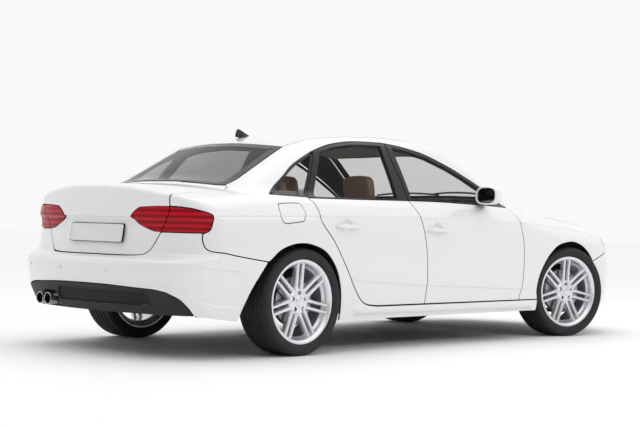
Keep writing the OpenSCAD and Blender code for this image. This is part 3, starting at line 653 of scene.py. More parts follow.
front_arch = on_side(curve([[1050, 283], [1031, 357], [1057, 460], [1130, 565], [1211, 634], [1294, 677],
                            [1421, 698], [1509, 692], [1604, 661], [1681, 612], [1740, 552]]))
front_arch_end = on_side(curve([[1740, 552], [1788, 462], [1812, 360], [1812, 290], [1800, 212]]))
rear_arch = on_side(curve([[-1640, 582], [-1628, 578], [-1544, 643], [-1452, 677], [-1371, 687], [-1293, 681],
                           [-1191, 651], [-1121, 603], [-1053, 517], [-1010, 409], [-996, 330], [-992, 260],
                           [-996, 200]])[2:])
rear_arch_end = on_side(curve([[-1640, 570], [-1731, 435], [-1780, 340], [-1833, 222]]))
sill_foot = on_side(straight([[-996, 200], [1045, 200]]))
bumper_cut = on_side(curve([[-2074, 745], [-2078, 700], [-2052, 645], [-1950, 628], [-1853, 610],
                            [-1640, 578]]))
lamp_end = on_side(curve([[-2126, 888], [-2044, 862], [-2026, 839], [-2038, 770], [-2061, 747],
                          [-2074, 745]]))
front_cut = on_side(straight([[1740, 552], [1982, 624]]))
headlight_end = on_side(curve([[1982, 624], [1930, 690], [1908, 735], [1905, 775]]))
windshield_top = on_top(curve([[430, 0], [415, -250], [375, -430], [335, -560]]))
windshield_side = on_top(straight([[335, -560], [800, -705]]))
windshield_foot = on_top(curve([[1035, 0], [1010, -300], [930, -560], [800, -705]]))
roof_edge = on_top(curve([[335, -560], [0, -568], [-500, -566], [-1000, -545], [-1169, -505]]))
rear_window_top = on_top(curve([[-1215, 0], [-1200, -300], [-1169, -505]]))
rear_window_side = on_top(straight([[-1169, -505], [-1687, -548]]))
rear_window_foot = on_top(curve([[-1770, 0], [-1735, -400], [-1687, -548]]))
hood_back = on_top(curve([[1062, 0], [1040, -300], [990, -560], [943, -722]]))
hood_side = on_top(curve([[943, -722], [1200, -733], [1500, -738], [1800, -722], [1907, -700]]))
hood_nose = on_top(curve([[2195, 0], [2150, -400], [2040, -600], [1907, -700]]))
lid_front = on_top(curve([[-1784, 0], [-1762, -300], [-1702, -575]]))
lid_side = on_top(curve([[-1702, -575], [-1735, -597], [-1950, -611], [-2166, -623]]))
lid_shoulder = on_tail(straight([[-623, 962], [-622, 897]]))
lamp_divide = on_tail(curve([[-622, 897], [-618, 850], [-593, 815], [-565, 775], [-551, 746]]))
lamp_top_inner = on_tail(curve([[-622, 897], [-520, 896], [-405, 890]]))
lamp_tip = on_tail(curve([[-405, 890], [-362, 864], [-326, 829]]))
lamp_foot_inner = on_tail(curve([[-326, 829], [-384, 792], [-440, 769], [-495, 751], [-551, 746]]))
lid_foot = on_tail(curve([[-551, 746], [-535, 719], [-503, 662], [-466, 624], [-414, 609], [-250, 604],
                          [0, 604]]))
lamp_foot_outer = np.concatenate([on_tail(straight([[-551, 746], [-700, 745]])), lamp_end[-1:]])
lamp_top_outer = np.concatenate([lamp_divide[:1], lamp_end[:1]])
diffuser_top = on_tail(curve([[0, 430], [-250, 427], [-487, 417], [-590, 412], [-675, 398]]))
diffuser_end = on_tail(curve([[-675, 398], [-732, 363], [-762, 313], [-776, 256]]))
bumper_foot = on_side(straight([[-2095, 256], [-1957, 239], [-1833, 222]]))
headlight_foot = np.concatenate([headlight_end[:1], on_nose(straight([[-700, 622], [-395, 628]]))])
headlight_inner = on_nose(straight([[-395, 628], [-395, 730]]))
SEAM = 3.0
span = np.arange(-2040, 1900, 40.0)
SHOULDER = fold(on_side(np.stack([span, at(crease_z, span)], 1)), -5.5, 2.6, 70)
span = np.arange(-940, 1000, 40.0)
LOW_CREASE = fold(on_side(np.stack([span, at(low_crease_z, span) + 4], 1)), -5.5, 4, 60)
SILL_TOP = fold(on_side(straight([[-900, 284], [1010, 270]])), 13, 6)
SILL_FOOT = fold(on_side(straight([[-900, 238], [1010, 224]])), -16, 9)
BUMPER_CREASE = fold(np.concatenate([on_tail(curve([[0, 568], [-435, 568], [-760, 562]])),
                                     on_side(curve([[-2150, 556], [-2005, 531], [-1780, 517]]))]), -7, 5, 80)
BUMPER_LIP = fold(np.concatenate([on_tail(curve([[0, 450], [-340, 446], [-600, 440], [-700, 425],
                                                 [-764, 392]])),
                                  on_side(curve([[-2107, 348], [-1982, 319], [-1800, 311]]))]), 7, 4)
LID_LEDGE = fold(on_tail(straight([[-390, 828], [390, 828]])), -15, 4, 90)


def both_ends(line_fold):
    """The same crease on the right half and mirrored on the left half, as one line."""
    points, height, rise, fall = line_fold
    return fold(np.concatenate([points, (points * [1, -1, 1])[::-1]]), height, rise, fall)


SIDE_FOLDS = [SHOULDER, LOW_CREASE]

# ---- Body sheets ----
def both_sides(name, chart, loop, material, body, slot, *replaced, back=None, **form):
    """The same sheet on both sides of the car, each riding on its own body and standing for its own node."""
    for side in ("right", "left"):
        piece = sheet(f"{name}_{side}", chart, loop, mirrored=side == "left", **form)
        dress(piece, material, body.format(side=side), slot, *[n.format(side=side) for n in replaced],
              back=back)


def side_panel(name, chart, stretches, body, slot, replaced, material=PAINT, corner=10, **form):
    """A sheet on both sides of the car, from the lines round it, drawn in by the seam."""
    loop = inset(outline(chart, *stretches, corner=corner), SEAM)
    both_sides(name, chart, loop, material, body, slot, *replaced, **form)


DOOR_EDGE, DOOR_DEEP = 8, 86
RIM_WIDTH, RIM_SLOPE = 62, 40


def door_depth(loop):
    """The inner side of a door: thin along its edge, deeper over a smooth slope towards its middle."""
    def inner(p, n):
        """Points moved in by the edge depth, and by the rest times the cubic ease of the gap to the edge."""
        uv = chart_of(ring, p)
        gap = np.concatenate([np.linalg.norm(uv[i:i + 1500, None] - loop[None], axis=2).min(1)
                              for i in range(0, len(uv), 1500)])
        ease = np.clip((gap - RIM_WIDTH) / RIM_SLOPE, 0, 1)
        return p - n * (DOOR_EDGE + (DOOR_DEEP - DOOR_EDGE) * ease * ease * (3 - 2 * ease))[:, None]
    return inner


def window(loop_points, corner=25):
    """The outline of a side window from its [x, z] corners."""
    return outline(ring, on_side(straight(loop_points)), corner=corner)


front_pane = window([[-264, 980], [-275, 1110], [-283, 1238], [-284, 1326], [-173, 1311], [31, 1270],
                     [226, 1201], [358, 1143], [552, 1050], [640, 1004], [640, 956], [300, 970], [0, 978],
                     [-264, 980]])
rear_pane = window([[-404, 979], [-404, 1234], [-391, 1331], [-654, 1329], [-872, 1298], [-985, 1262],
                    [-1075, 1132], [-1168, 980], [-800, 979], [-404, 979]])
quarter_edge = outline(ring, on_side(curve([[-1039, 1273], [-1073, 1263], [-1256, 1178], [-1410, 1072],
                                            [-1541, 983]])),
                       on_side(straight([[-1541, 983], [-1238, 971]])), rear_frame_edge, corner=10)
quarter_pane = inset(quarter_edge, 17)
fuel_edge = outline(ring, on_side(curve([[-1523, 930], [-1435, 936], [-1348, 934], [-1330, 908], [-1321, 879],
                                         [-1330, 850], [-1346, 823], [-1425, 812], [-1504, 807], [-1526, 832],
                                         [-1535, 857], [-1532, 895], [-1523, 930]])), corner=20)
frame_loop = [sill_foot, front_arch_rear, fender_foot[::-1], door_foot_front[::-1], door_foot_rear[::-1],
              rear_door_edge, rear_frame_edge, top_rear, top_front, windshield_side[::-1], roof_edge,
              rear_window_side, lid_side, lid_shoulder, lamp_top_outer, lamp_end, bumper_cut, rear_arch]
frame_edge = inset(outline(ring, *frame_loop), SEAM)
for side in ("right", "left"):
    holes = [quarter_edge, fuel_edge] if side == "right" else [quarter_edge]
    piece = sheet(f"side_frame_{side}", ring, frame_edge, holes=holes, step=24, depth=14,
                  mirrored=side == "left", folds=SIDE_FOLDS + [SILL_TOP, SILL_FOOT])
    dress(piece, PAINT, "body", "white_paint", "side_frames", back=GAP_SHADE)
flap = sheet("fuel_flap", ring, inset(fuel_edge, 4), step=20, depth=8, folds=[SHOULDER])
dress(flap, PAINT, "body", "white_paint", back=GAP_SHADE)

front_door_loop = inset(outline(ring, door_foot_front[::-1], split_low, belt_front, front_door_edge), SEAM)
rear_door_loop = inset(outline(ring, door_foot_rear[::-1], rear_door_edge, belt_rear, split_low[::-1]), SEAM)
CUP_R, CUP_DEPTH = 56, 17
cups = {"front": on_side([[-88, 783]])[0], "rear": on_side([[-962, 800]])[0]}
# The door panels' walls and back take the dark cabin finish: on the back it is the door's inner trim, and on
# the walls round the door's edge it is painted shade in the shut lines.
for end, loop in (("front", front_door_loop), ("rear", rear_door_loop)):
    both_sides(f"{end}_door_panel", ring, loop, PAINT, end + "_door_{side}", "white_paint",
               end + "_door_{side}", back=CABIN, step=24, folds=SIDE_FOLDS, inner=door_depth(loop),
               dents=[(cups[end], CUP_R, CUP_DEPTH)])
side_panel("front_window_frame", ring, [belt_front, top_front[::-1], split_high[::-1]], "front_door_{side}",
           "black_plastic", [], holes=[front_pane], material=GLOSS_BLACK, depth=30, step=16, lift=-1.5)
side_panel("rear_window_frame", ring, [belt_rear, split_high, top_rear[::-1], rear_frame_edge[::-1]],
           "rear_door_{side}", "black_plastic", [], holes=[rear_pane], material=GLOSS_BLACK, depth=30,
           step=16, lift=-1.5)
for end, pane in (("front", front_pane), ("rear", rear_pane)):
    both_sides(f"{end}_pane", ring, inset(pane, -3), GLASS, end + "_door_{side}", "tinted_glass",
               end + "_glass_{side}", step=40, depth=5, lift=-5)
both_sides("quarter_window_trim", ring, inset(quarter_edge, 2), GLOSS_BLACK, "body", "black_plastic",
           holes=[quarter_pane], step=16, depth=12, lift=-1.5)
both_sides("quarter_pane", ring, inset(quarter_pane, -3), GLASS, "body", "tinted_glass", "quarter_glass",
           step=30, depth=5, lift=-5)

side_panel("fender", ring, [front_door_edge[::-1], windshield_foot[-1:], hood_side, headlight_end[::-1],
                            front_cut[::-1], front_arch[::-1], fender_foot[::-1]], "body", "white_paint",
           ["front_fenders"], depth=10, step=24, folds=SIDE_FOLDS, back=GAP_SHADE)


def centre_panel(name, chart, loops, material, body, slot, replaced, seam=SEAM, corner=10, holes=(),
                 back=None, **form):
    """One sheet across the middle of the car, from lines of its right half."""
    loop = inset(outline(chart, *loops, corner=corner), seam)
    return dress(sheet(name, chart, loop, holes=holes, **form), material, body, slot, *replaced, back=back)


def across(front, side, back):
    """The closed run of lines round a middle panel: its front edge, right side, back edge and left side."""
    return [joined(front), side, joined(back)[::-1], (side * [1, -1, 1])[::-1]]


centre_panel("roof_sheet", ring, across(windshield_top, roof_edge, rear_window_top), PAINT, "body",
             "white_paint", ["roof_panel"], depth=22, step=40, back=LINING)
centre_panel("hood_sheet", ring, across(hood_back, hood_side, hood_nose), PAINT, "hood", "white_paint",
             ["hood"], depth=12, step=32, back=GAP_SHADE)
centre_panel("cowl_cover", ring, across(windshield_foot, on_top(straight([[800, -705], [943, -722]])),
                                        hood_back),
             SATIN_BLACK, "body", "black_plastic", [], depth=10, step=20, lift=-3)
for name, edges, node, dark, band in (
        ("windshield", across(windshield_top, windshield_side, windshield_foot), "windshield", GLASS, 42),
        ("rear_screen", across(rear_window_top, rear_window_side, rear_window_foot), "rear_window",
         DARK_GLASS, 50)):
    rim = inset(outline(ring, *edges), SEAM + 1)
    clear = inset(outline(ring, *edges, corner=40), band)
    dress(sheet(name + "_border", ring, rim, holes=[clear], step=20, depth=6, lift=-1), GLOSS_BLACK, "body",
          "black_plastic")
    dress(sheet(name + "_pane", ring, inset(clear, -1), step=40, depth=5, lift=-1.2), dark, "body",
          "tinted_glass", node)

centre_panel("trunk_lid_sheet", lid_fan,
             [joined(lid_front), lid_side, lid_shoulder, lamp_top_inner, lamp_tip, lamp_foot_inner, joined(
                 lid_foot[::-1])[::-1], (np.concatenate([lid_side, lid_shoulder, lamp_top_inner, lamp_tip,
                                                         lamp_foot_inner]) * [1, -1, 1])[::-1]],
             PAINT, "trunk_lid", "white_paint", ["trunk_lid"], depth=12, step=24, back=GAP_SHADE,
             folds=[LID_LEDGE])
side_panel("inner_lamp", lid_fan, [lamp_top_inner, lamp_tip, lamp_foot_inner, lamp_divide[::-1]], "trunk_lid",
           "lamp_red", ["lid_lamps"], material=RED_LAMP, depth=24, step=18, corner=5)
side_panel("outer_lamp", tail_wrap, [lamp_divide, lamp_foot_outer, lamp_end[::-1], lamp_top_outer[::-1]],
           "body", "lamp_red", ["taillights"], material=RED_LAMP, depth=30, step=18, corner=5)

rear_half = [bumper_cut, rear_arch_end, bumper_foot[::-1], diffuser_end[::-1]]
rear_loop = np.concatenate([lid_foot[::-1], lamp_foot_outer[1:], *rear_half, diffuser_top[::-1]])
centre_panel("rear_bumper_cover", tail_wrap, [rear_loop, (rear_loop * [1, -1, 1])[::-1]], PAINT, "body",
             "white_paint", ["rear_bumper"], depth=12, step=24, back=GAP_SHADE,
             folds=[both_ends(BUMPER_CREASE), both_ends(BUMPER_LIP)])


def tail_window(points, corner=20):
    """The outline of a hole in the tail from its [y, z] corners."""
    return outline(tail_wrap, on_tail(straight(points + points[:1])), corner=corner)


EXHAUST = [(367, 313), (450, 313)]
TIP_X = -2331
mesh_hole = tail_window([[-530, 312], [-545, 350], [-520, 394], [280, 396], [300, 350], [290, 312]])
pipe_hole = tail_window([[318, 268], [318, 352], [335, 362], [482, 362], [499, 352], [499, 268]], 30)
diffuser_low = on_tail(straight([[0, 258], [-790, 258]]))
diffuser_half = np.concatenate([diffuser_top, diffuser_end, diffuser_low[::-1]])
centre_panel("rear_diffuser_cover", tail_wrap, [diffuser_half, (diffuser_half * [1, -1, 1])[::-1]],
             GREY_PLASTIC, "body", "black_plastic", ["rear_diffuser"], depth=12, step=20,
             holes=[mesh_hole, pipe_hole])

front_half = np.concatenate([hood_nose[hood_nose[:, 1] > -395], headlight_inner[::-1], headlight_foot[::-1],
                             front_cut[::-1], front_arch_end, on_nose(straight([[-700, 212], [0, 212]]))])


def nose_window(points, corner=20):
    """The outline of a hole in the nose from its [y, z] corners."""
    return outline(nose_wrap, on_nose(straight(points + points[:1])), corner=corner)


grille_hole = nose_window([[-325, 738], [-345, 690], [-240, 340], [240, 340], [345, 690], [325, 738]], 30)
duct_holes = [nose_window([[s * 470, 430], [s * 745, 440], [s * 728, 300], [s * 445, 292]], 30)
              for s in (-1, 1)]
centre_panel("front_bumper_cover", nose_wrap, [front_half, (front_half * [1, -1, 1])[::-1]], PAINT, "body",
             "white_paint", ["front_bumper"], depth=12, step=24, holes=[grille_hole, *duct_holes], back=GAP_SHADE)
side_panel("headlight_cover", nose_wrap, [headlight_foot, headlight_inner, hood_nose[hood_nose[:, 1] < -395],
                                          headlight_end[::-1]], "body", "lamp_clear", ["headlights"],
           material=CLEAR_LAMP, depth=4, step=20)
side_panel("headlight_bowl", nose_wrap, [headlight_foot, headlight_inner, hood_nose[hood_nose[:, 1] < -395],
                                         headlight_end[::-1]], "body", "lamp_clear", [],
           material=REFLECTOR, depth=4, step=20, lift=-32)


# ---- Shapes carried along paths and turned round axes ----
def grid_faces(rows, columns, wrap_rows=False):
    """Quads between neighbouring rows of a grid whose columns close on themselves."""
    i, j = np.meshgrid(np.arange(rows if wrap_rows else rows - 1), np.arange(columns), indexing="ij")
    here, beside = i * columns + j, i * columns + (j + 1) % columns
    above = ((i + 1) % rows) * columns
    return np.stack([here, beside, above + (j + 1) % columns, above + j], -1).reshape(-1, 4)


def loft(rings, capped=True):
    """A closed shell through rings of points: rows of quads, with a fan to the middle of each end ring."""
    rings = np.asarray(rings, float)
    rows, columns = rings.shape[:2]
    points = rings.reshape(-1, 3)
    faces = grid_faces(rows, columns).tolist()
    if capped:
        points = np.concatenate([points, rings[0].mean(0)[None], rings[-1].mean(0)[None]])
        last = (rows - 1) * columns
        for j in range(columns):
            k = (j + 1) % columns
            faces.append([k, j, rows * columns])
            faces.append([last + j, last + k, rows * columns + 1])
    return points, faces


def turned(profile, segments=96):
    """A closed profile of [radius, height] carried once round the local Z axis: x = r cos a, y = r sin a."""
    profile = np.asarray(profile, float)
    angle = np.linspace(0, 2 * np.pi, segments, endpoint=False)
    r, z = profile[:, 0][:, None], profile[:, 1][:, None]
    shape = np.stack([r * np.cos(angle), r * np.sin(angle), z + 0 * angle], -1)
    return shape.reshape(-1, 3), grid_faces(len(profile), segments, wrap_rows=True).tolist()


def oval(count, power, half_u, half_v):
    """A rounded-box outline: cosine and sine, each raised to 2 / power with its sign kept."""
    angle = np.linspace(0, 2 * np.pi, count, endpoint=False)
    c, s = np.cos(angle), np.sin(angle)
    return (half_u * np.sign(c) * np.abs(c) ** (2 / power), half_v * np.sign(s) * np.abs(s) ** (2 / power))


def swept(centres, across_axis, up_axis, half_u, half_v, power=3.0, count=24):
    """A rounded-box outline at each centre of a path, with its own half width and half height."""
    rings = []
    for centre, a, b, hu, hv in zip(centres, across_axis, up_axis, half_u, half_v):
        u, v = oval(count, power, hu, hv)
        rings.append(centre + u[:, None] * a + v[:, None] * b)
    return loft(rings)


def merged(*shells):
    """Several shells as one list of points and faces."""
    points, faces, start = [], [], 0
    for shell_points, shell_faces in shells:
        points.append(shell_points)
        faces += [[i + start for i in face] for face in shell_faces]
        start += len(shell_points)
    return np.concatenate(points), faces


def solid_piece(name, points, faces, second=None):
    """A mesh piece whose faces are turned outwards, with an optional mask of faces for its second finish."""
    piece = make_mesh(name, points, faces)
    shape = bmesh.new()
    shape.from_mesh(piece.data)
    bmesh.ops.recalc_face_normals(shape, faces=shape.faces)
    shape.to_mesh(piece.data)
    shape.free()
    if second is not None:
        piece.data.polygons.foreach_set("material_index", np.asarray(second, np.int32))
    return piece


def smoothed(piece, levels=1):
    """Rounds a piece with subdivision, the same in the view and in the render."""
    finer = piece.modifiers.new("rounding", "SUBSURF")
    finer.levels = finer.render_levels = levels
    return piece


# ---- Wheels ----
TYRE_R, HALF_TYRE, RIM_R = 330.5, 127, 258.8
BEAD_R = RIM_R - 17.8
SPOKES = 7
SPOKE_GAP = 22
WELL_DEPTH = 17


def wheel_seat(joint, side):
    """Carries points from the wheel's own axes (x forward, y up, z outwards) to where its joint puts it."""
    centre, axis = joint_place(joint)
    outward = axis * np.sign(axis[1]) * (1 if side == "left" else -1)
    fore = np.cross([0, 0, 1], outward)

    def place(points):
        return centre + points[:, :1] * fore + points[:, 1:2] * [0, 0, 1] + points[:, 2:] * outward
    return place


def tyre_shape():
    """A tyre: its closed profile turned round, less grooves round the tread and slots across its shoulders.

    Radius falls by 7 inside the four grooves, and by 4.5 in each of 76 slots more than 66 from the middle.
    """
    outer = curve([[BEAD_R, HALF_TYRE - 28], [RIM_R, HALF_TYRE - 22], [RIM_R + 5, HALF_TYRE - 11],
                   [RIM_R + 18, HALF_TYRE - 3], [RIM_R + 31, HALF_TYRE], [RIM_R + 51, HALF_TYRE - 1],
                   [TYRE_R - 9, HALF_TYRE - 11], [TYRE_R - 2, HALF_TYRE - 22], [TYRE_R, HALF_TYRE - 36]], 6)
    tread_z = np.linspace(HALF_TYRE - 38, 38 - HALF_TYRE, 59)
    tread = np.stack([TYRE_R - 0 * tread_z, tread_z], 1)
    inner = np.array([[BEAD_R, 45 - HALF_TYRE], [TYRE_R - 14, 38 - HALF_TYRE], [TYRE_R - 14, HALF_TYRE - 38],
                      [BEAD_R, HALF_TYRE - 45]])
    profile = np.concatenate([outer, tread, outer[::-1] * [1, -1], inner])
    points, faces = turned(profile, 304)
    radius = np.linalg.norm(points[:, :2], axis=1)
    angle = np.arctan2(points[:, 1], points[:, 0])
    z = points[:, 2]
    on_tread = radius > TYRE_R - 12
    groove = np.zeros(len(points))
    for middle in (-56, -19, 19, 56):
        groove = np.maximum(groove, 7 * (np.abs(z - middle) < 4.6))
    slot = ((angle * 76 / (2 * np.pi)) % 1 < 0.26) & (np.abs(z) > 66)
    groove = np.maximum(groove, 4.5 * slot)
    rib = ((radius > RIM_R + 24) & (radius < RIM_R + 27)) * 0.8 * (np.abs(z) > 110)
    points[:, :2] *= (1 - np.where(on_tread, groove, 0) / radius)[:, None]
    points[:, 2] -= np.sign(z) * rib
    return points, faces


def spoke_shape(turn, offset):
    """One spoke of a pair: a narrow face with wider flanks, straight out from the hub beside its twin."""
    t = np.linspace(0, 1, 9)
    r = 52 + 188 * t
    face = 84 + 15 * t ** 1.3
    deep = 52 - 18 * t
    across = np.array([-1.0, -0.86, -0.6, -0.42, 0.42, 0.6, 0.86, 1.0, 0.86, -0.86])
    down = np.array([0.7, 0.35, 0.05, 0.0, 0.0, 0.05, 0.35, 0.7, 1.0, 1.0])
    width = 15 - 4 * t + 5 * (1 - t) ** 4
    y = offset + across[None] * width[:, None]
    z = face[:, None] - down[None] * deep[:, None]
    rings = np.stack([r[:, None] + 0 * y, y, z], -1)
    c, s = np.cos(turn), np.sin(turn)
    rings = np.stack([rings[..., 0] * c - rings[..., 1] * s, rings[..., 0] * s + rings[..., 1] * c,
                      rings[..., 2]],
                     -1)
    return loft(rings)


def hub_shape():
    """The hub face on a polar grid: a crowned disc with a raised cap and five sunk bolt wells."""
    r = np.concatenate([np.linspace(1, 26, 6), [28, 30], np.linspace(33, 78, 22), [82, 84, 84]])
    angle = np.linspace(0, 2 * np.pi, 180, endpoint=False)
    radius, a = np.meshgrid(r, angle, indexing="ij")
    z = np.interp(radius, [0, 26, 29, 31, 66, 80, 84], [94, 92.5, 89, 86, 85, 78, 66])
    z[-1] = 34
    well = np.zeros_like(z)
    for k in range(5):
        b = 2 * np.pi * k / 5 + 0.3
        gap = np.hypot(radius * np.cos(a) - 56 * np.cos(b), radius * np.sin(a) - 56 * np.sin(b))
        well = np.maximum(well, np.clip((12.5 - gap) / 2.5, 0, 1))
    z = z - WELL_DEPTH * well
    rings = np.stack([radius * np.cos(a), radius * np.sin(a), z], -1)
    points, faces = loft(rings)
    # The faces in the five bolt wells are kept for the dark second finish: dark bolts at their floors, and
    # painted shade in the recesses.
    dark = well.reshape(-1)
    mask = [max(dark[i] if i < len(dark) else 0 for i in face) > 0.5 for face in faces]
    return points, faces, mask


BARREL = [[258.8, 111], [258.8, 105], [254, 101], [243, 99], [241, 96], [241, 81], [223, 63], [223, -81],
          [241, -97], [258.8, -105], [258.8, -111], [250, -111], [234, -99], [215, -79], [215, 61], [224, 72],
          [230, 84], [232, 96], [243, 108], [250, 111]]
tyre_points, tyre_faces = tyre_shape()
hub_points, hub_faces, hub_well_shade = hub_shape()
barrel = turned(BARREL, 144)
spokes = [spoke_shape(np.pi / 2 + 2 * np.pi * k / SPOKES, s * SPOKE_GAP)
          for k in range(SPOKES) for s in (-1, 1)]
rim_points, rim_faces = merged(barrel, *spokes, (hub_points, hub_faces))
# The bolt-well faces take satin black: painted shade in the recesses, with the dark bolts at their floors.
rim_well_shade = np.concatenate([np.zeros(len(rim_faces) - len(hub_faces), bool), hub_well_shade])
for end in ("front", "rear"):
    for side in ("left", "right"):
        spot = f"{end}_{side}"
        seat = wheel_seat(f"wheel_{spot}_spin", side)
        dress(solid_piece(f"tread_tyre_{spot}", seat(tyre_points), tyre_faces), RUBBER, f"wheel_{spot}",
              "tyre_rubber", f"tyre_{spot}")
        dress(solid_piece(f"spoked_rim_{spot}", seat(rim_points), rim_faces, rim_well_shade), ALLOY,
              f"wheel_{spot}", "alloy_silver", f"rim_{spot}", back=SATIN_BLACK)

# ---- Things on the body ----
def mirrored(points):
    """The same points on the other side of the car: y changes its sign."""
    return points * [1, -1, 1]


def pair(name, shape, material, body, slot, *replaced, second=None, back=None, levels=0):
    """The same shape on both sides of the car, worked out for the right side."""
    for side in ("right", "left"):
        points, faces = shape
        piece = solid_piece(f"{name}_{side}", points if side == "right" else mirrored(points), faces, second)
        if levels:
            smoothed(piece, levels)
        dress(piece, material, body.format(side=side), slot, *[n.format(side=side) for n in replaced],
              back=back)


def handle_shape(x0, x1, z0, z1):
    """A pull handle: a rounded bar from x0 to x1 that bows out from the door and meets it at both ends."""
    t = np.linspace(0, 1, 17)
    foot = on_side(np.stack([x0 + (x1 - x0) * t, z0 + (z1 - z0) * t + 3 * np.sin(np.pi * t)], 1))
    away = form_normal(foot)
    stand = 2 + 22 * np.sin(np.pi * t) ** 0.5
    high = 7 + 5.5 * np.sin(np.pi * t) ** 0.6
    thick = 3 + 4 * np.sin(np.pi * t) ** 0.5
    upright = unit(np.cross(np.gradient(foot, axis=0), away))
    return swept(foot + away * stand[:, None], upright, away, high, thick, 2.6)


pair("front_handle", handle_shape(-196, 14, 776, 770), PAINT, "front_door_{side}", "white_paint")
pair("rear_handle", handle_shape(-1072, -866, 793, 788), PAINT, "rear_door_{side}", "white_paint")

# Mirror housing: rounded-box rings along X, from the open rear rim to the closed nose
MIRROR_AT = np.array([408, -952, 1019])
along = np.array([-70, -66, -56, -36, -8, 22, 46, 62, 70, 73])
wide = np.array([87, 90, 91, 91, 87, 79, 66, 48, 26, 8])
tall = np.array([58, 61, 62.5, 63, 61, 56, 47, 34, 19, 6])
sink = np.array([0, 0, 0, 0, -1, -3, -6, -9, -11, -12])


def mirror_rings(rows):
    """Chosen rings of the mirror housing: rounded boxes along X, each leaning a little with its height."""
    centres = MIRROR_AT + np.stack([along, 0.12 * along, sink], 1)
    out = []
    for k in rows:
        u, v = oval(40, 3.0, wide[k], tall[k])
        lean = 0.16 * v
        out.append(centres[k] + np.stack([0 * u, u - lean * 0.3, v], 1))
    return out


rim_rings = mirror_rings([2, 1, 0])
hollow = [MIRROR_AT + np.array([-68, -8, 0]) + (ring_points - ring_points.mean(0)) * s
          for ring_points, s in ((rim_rings[-1], 0.9), (rim_rings[-1], 0.88))]
hollow[1] = hollow[1] + [12, 0, 0]
pair("mirror_cap", loft([hollow[1] + [16, 0, 0], *mirror_rings(range(1, 10))]), PAINT,
     "front_door_{side}", "white_paint", "mirror_{side}", levels=1)
pair("mirror_rim", loft([*rim_rings, *hollow]), PAINT, "front_door_{side}", "white_paint")
glass_ring = hollow[1] + [-6, 0, 0]
middle = glass_ring.mean(0)
pair("mirror_glass", loft([middle + (glass_ring - middle) * s + [-3 * (1 - s * s) + d, 0, 0]
                           for s, d in ((0.05, 0), (0.4, 0), (0.75, 0), (0.985, 0), (0.985, 4))]), MIRROR,
     "front_door_{side}", "tinted_glass")
foot_path = np.array([[470, -812, 962], [462, -836, 964], [446, -866, 966], [430, -896, 972],
                      [418, -920, 982]])
pair("mirror_foot", swept(foot_path, [[1, 0, 0]] * 5, [[0, 0.25, 0.97]] * 5, [62, 50, 38, 32, 30],
                          [13, 13, 13, 14, 14], 2.8), GLOSS_BLACK, "front_door_{side}", "black_plastic",
     levels=1)

# Swan necks under the trunk lid: along its underside, then an arc round its hinge axis
NECK_Y, NECK_R = -562, 330
pivot, _ = joint_place("trunk_hinge")
under_lid = on_top([[-1930, NECK_Y], [-1880, NECK_Y], [-1830, NECK_Y]]) - [0, 0, 24]
swing = np.radians(np.linspace(190, 266, 16))
neck_arc = np.stack([pivot[0] + NECK_R * np.cos(swing), NECK_Y + 0 * swing,
                     pivot[2] + NECK_R * np.sin(swing)], 1)
neck_end = np.stack([pivot[0] + np.array([-10, -2, 4, 8]), np.full(4, NECK_Y),
                     pivot[2] - np.array([318, 290, 220, 112])], 1)
neck = np.concatenate([under_lid, neck_arc, neck_end])
neck_run = np.gradient(neck, axis=0)
neck_out = unit(np.stack([neck_run[:, 2], 0 * neck_run[:, 0], -neck_run[:, 0]], 1))
pair("trunk_hinge_arm", swept(neck, [[0, 1, 0]] * len(neck), neck_out, [6] * len(neck), [9] * len(neck), 3),
     STEEL, "trunk_lid", "black_plastic")

# Plate: a blank panel in a thin frame, lying back against the lid
PLATE_AT, PLATE_HALF, PLATE_LEAN = np.array([-2244, -8, 733]), np.array([258, 54]), 0.159


def plate_slab(half_y, half_z, front, thick, power=18):
    """A flat slab with rounded corners and an eased front edge, leaning with the lid."""
    u, v = oval(72, power, half_y, half_z)
    out = np.array([-np.cos(PLATE_LEAN), 0, -np.sin(PLATE_LEAN)])
    rise = np.array([-np.sin(PLATE_LEAN), 0, np.cos(PLATE_LEAN)]) * [-1, 1, 1]
    base = PLATE_AT + u[:, None] * [0, 1, 0] + v[:, None] * rise
    shrink = PLATE_AT + (base - PLATE_AT) * 0.994
    return loft([base - out * thick, base + out * (front - 1), shrink + out * front])


dress(solid_piece("plate_frame", *plate_slab(*(PLATE_HALF + 4), 2, 7)), GLOSS_BLACK, "trunk_lid",
      "black_plastic")
dress(solid_piece("blank_plate", *plate_slab(*PLATE_HALF, 3, 4)), PLATE, "trunk_lid", "white_paint")

# Small round parking sensors, set into both bumpers
def button(point, away, radius, height):
    """A low dome on a surface, in rings that close towards its middle."""
    side_axis = unit(np.cross(away, [0, 0, 1.0]))
    top_axis = np.cross(side_axis, away)
    u, v = oval(24, 2, 1, 1)
    rings = [point + away * h + (u[:, None] * side_axis + v[:, None] * top_axis) * radius * r
             for r, h in ((1.0, -4), (1.0, 0.3), (0.93, height), (0.4, height + 0.2))]
    return loft(rings)


sensor_feet = on_tail([[-640, 520], [-225, 515], [225, 515], [640, 520]])
dress(solid_piece("rear_sensors", *merged(*[button(p, n, 11, 0.9) for p, n in zip(sensor_feet, form_normal(
    sensor_feet))])), PAINT, "body", "white_paint")

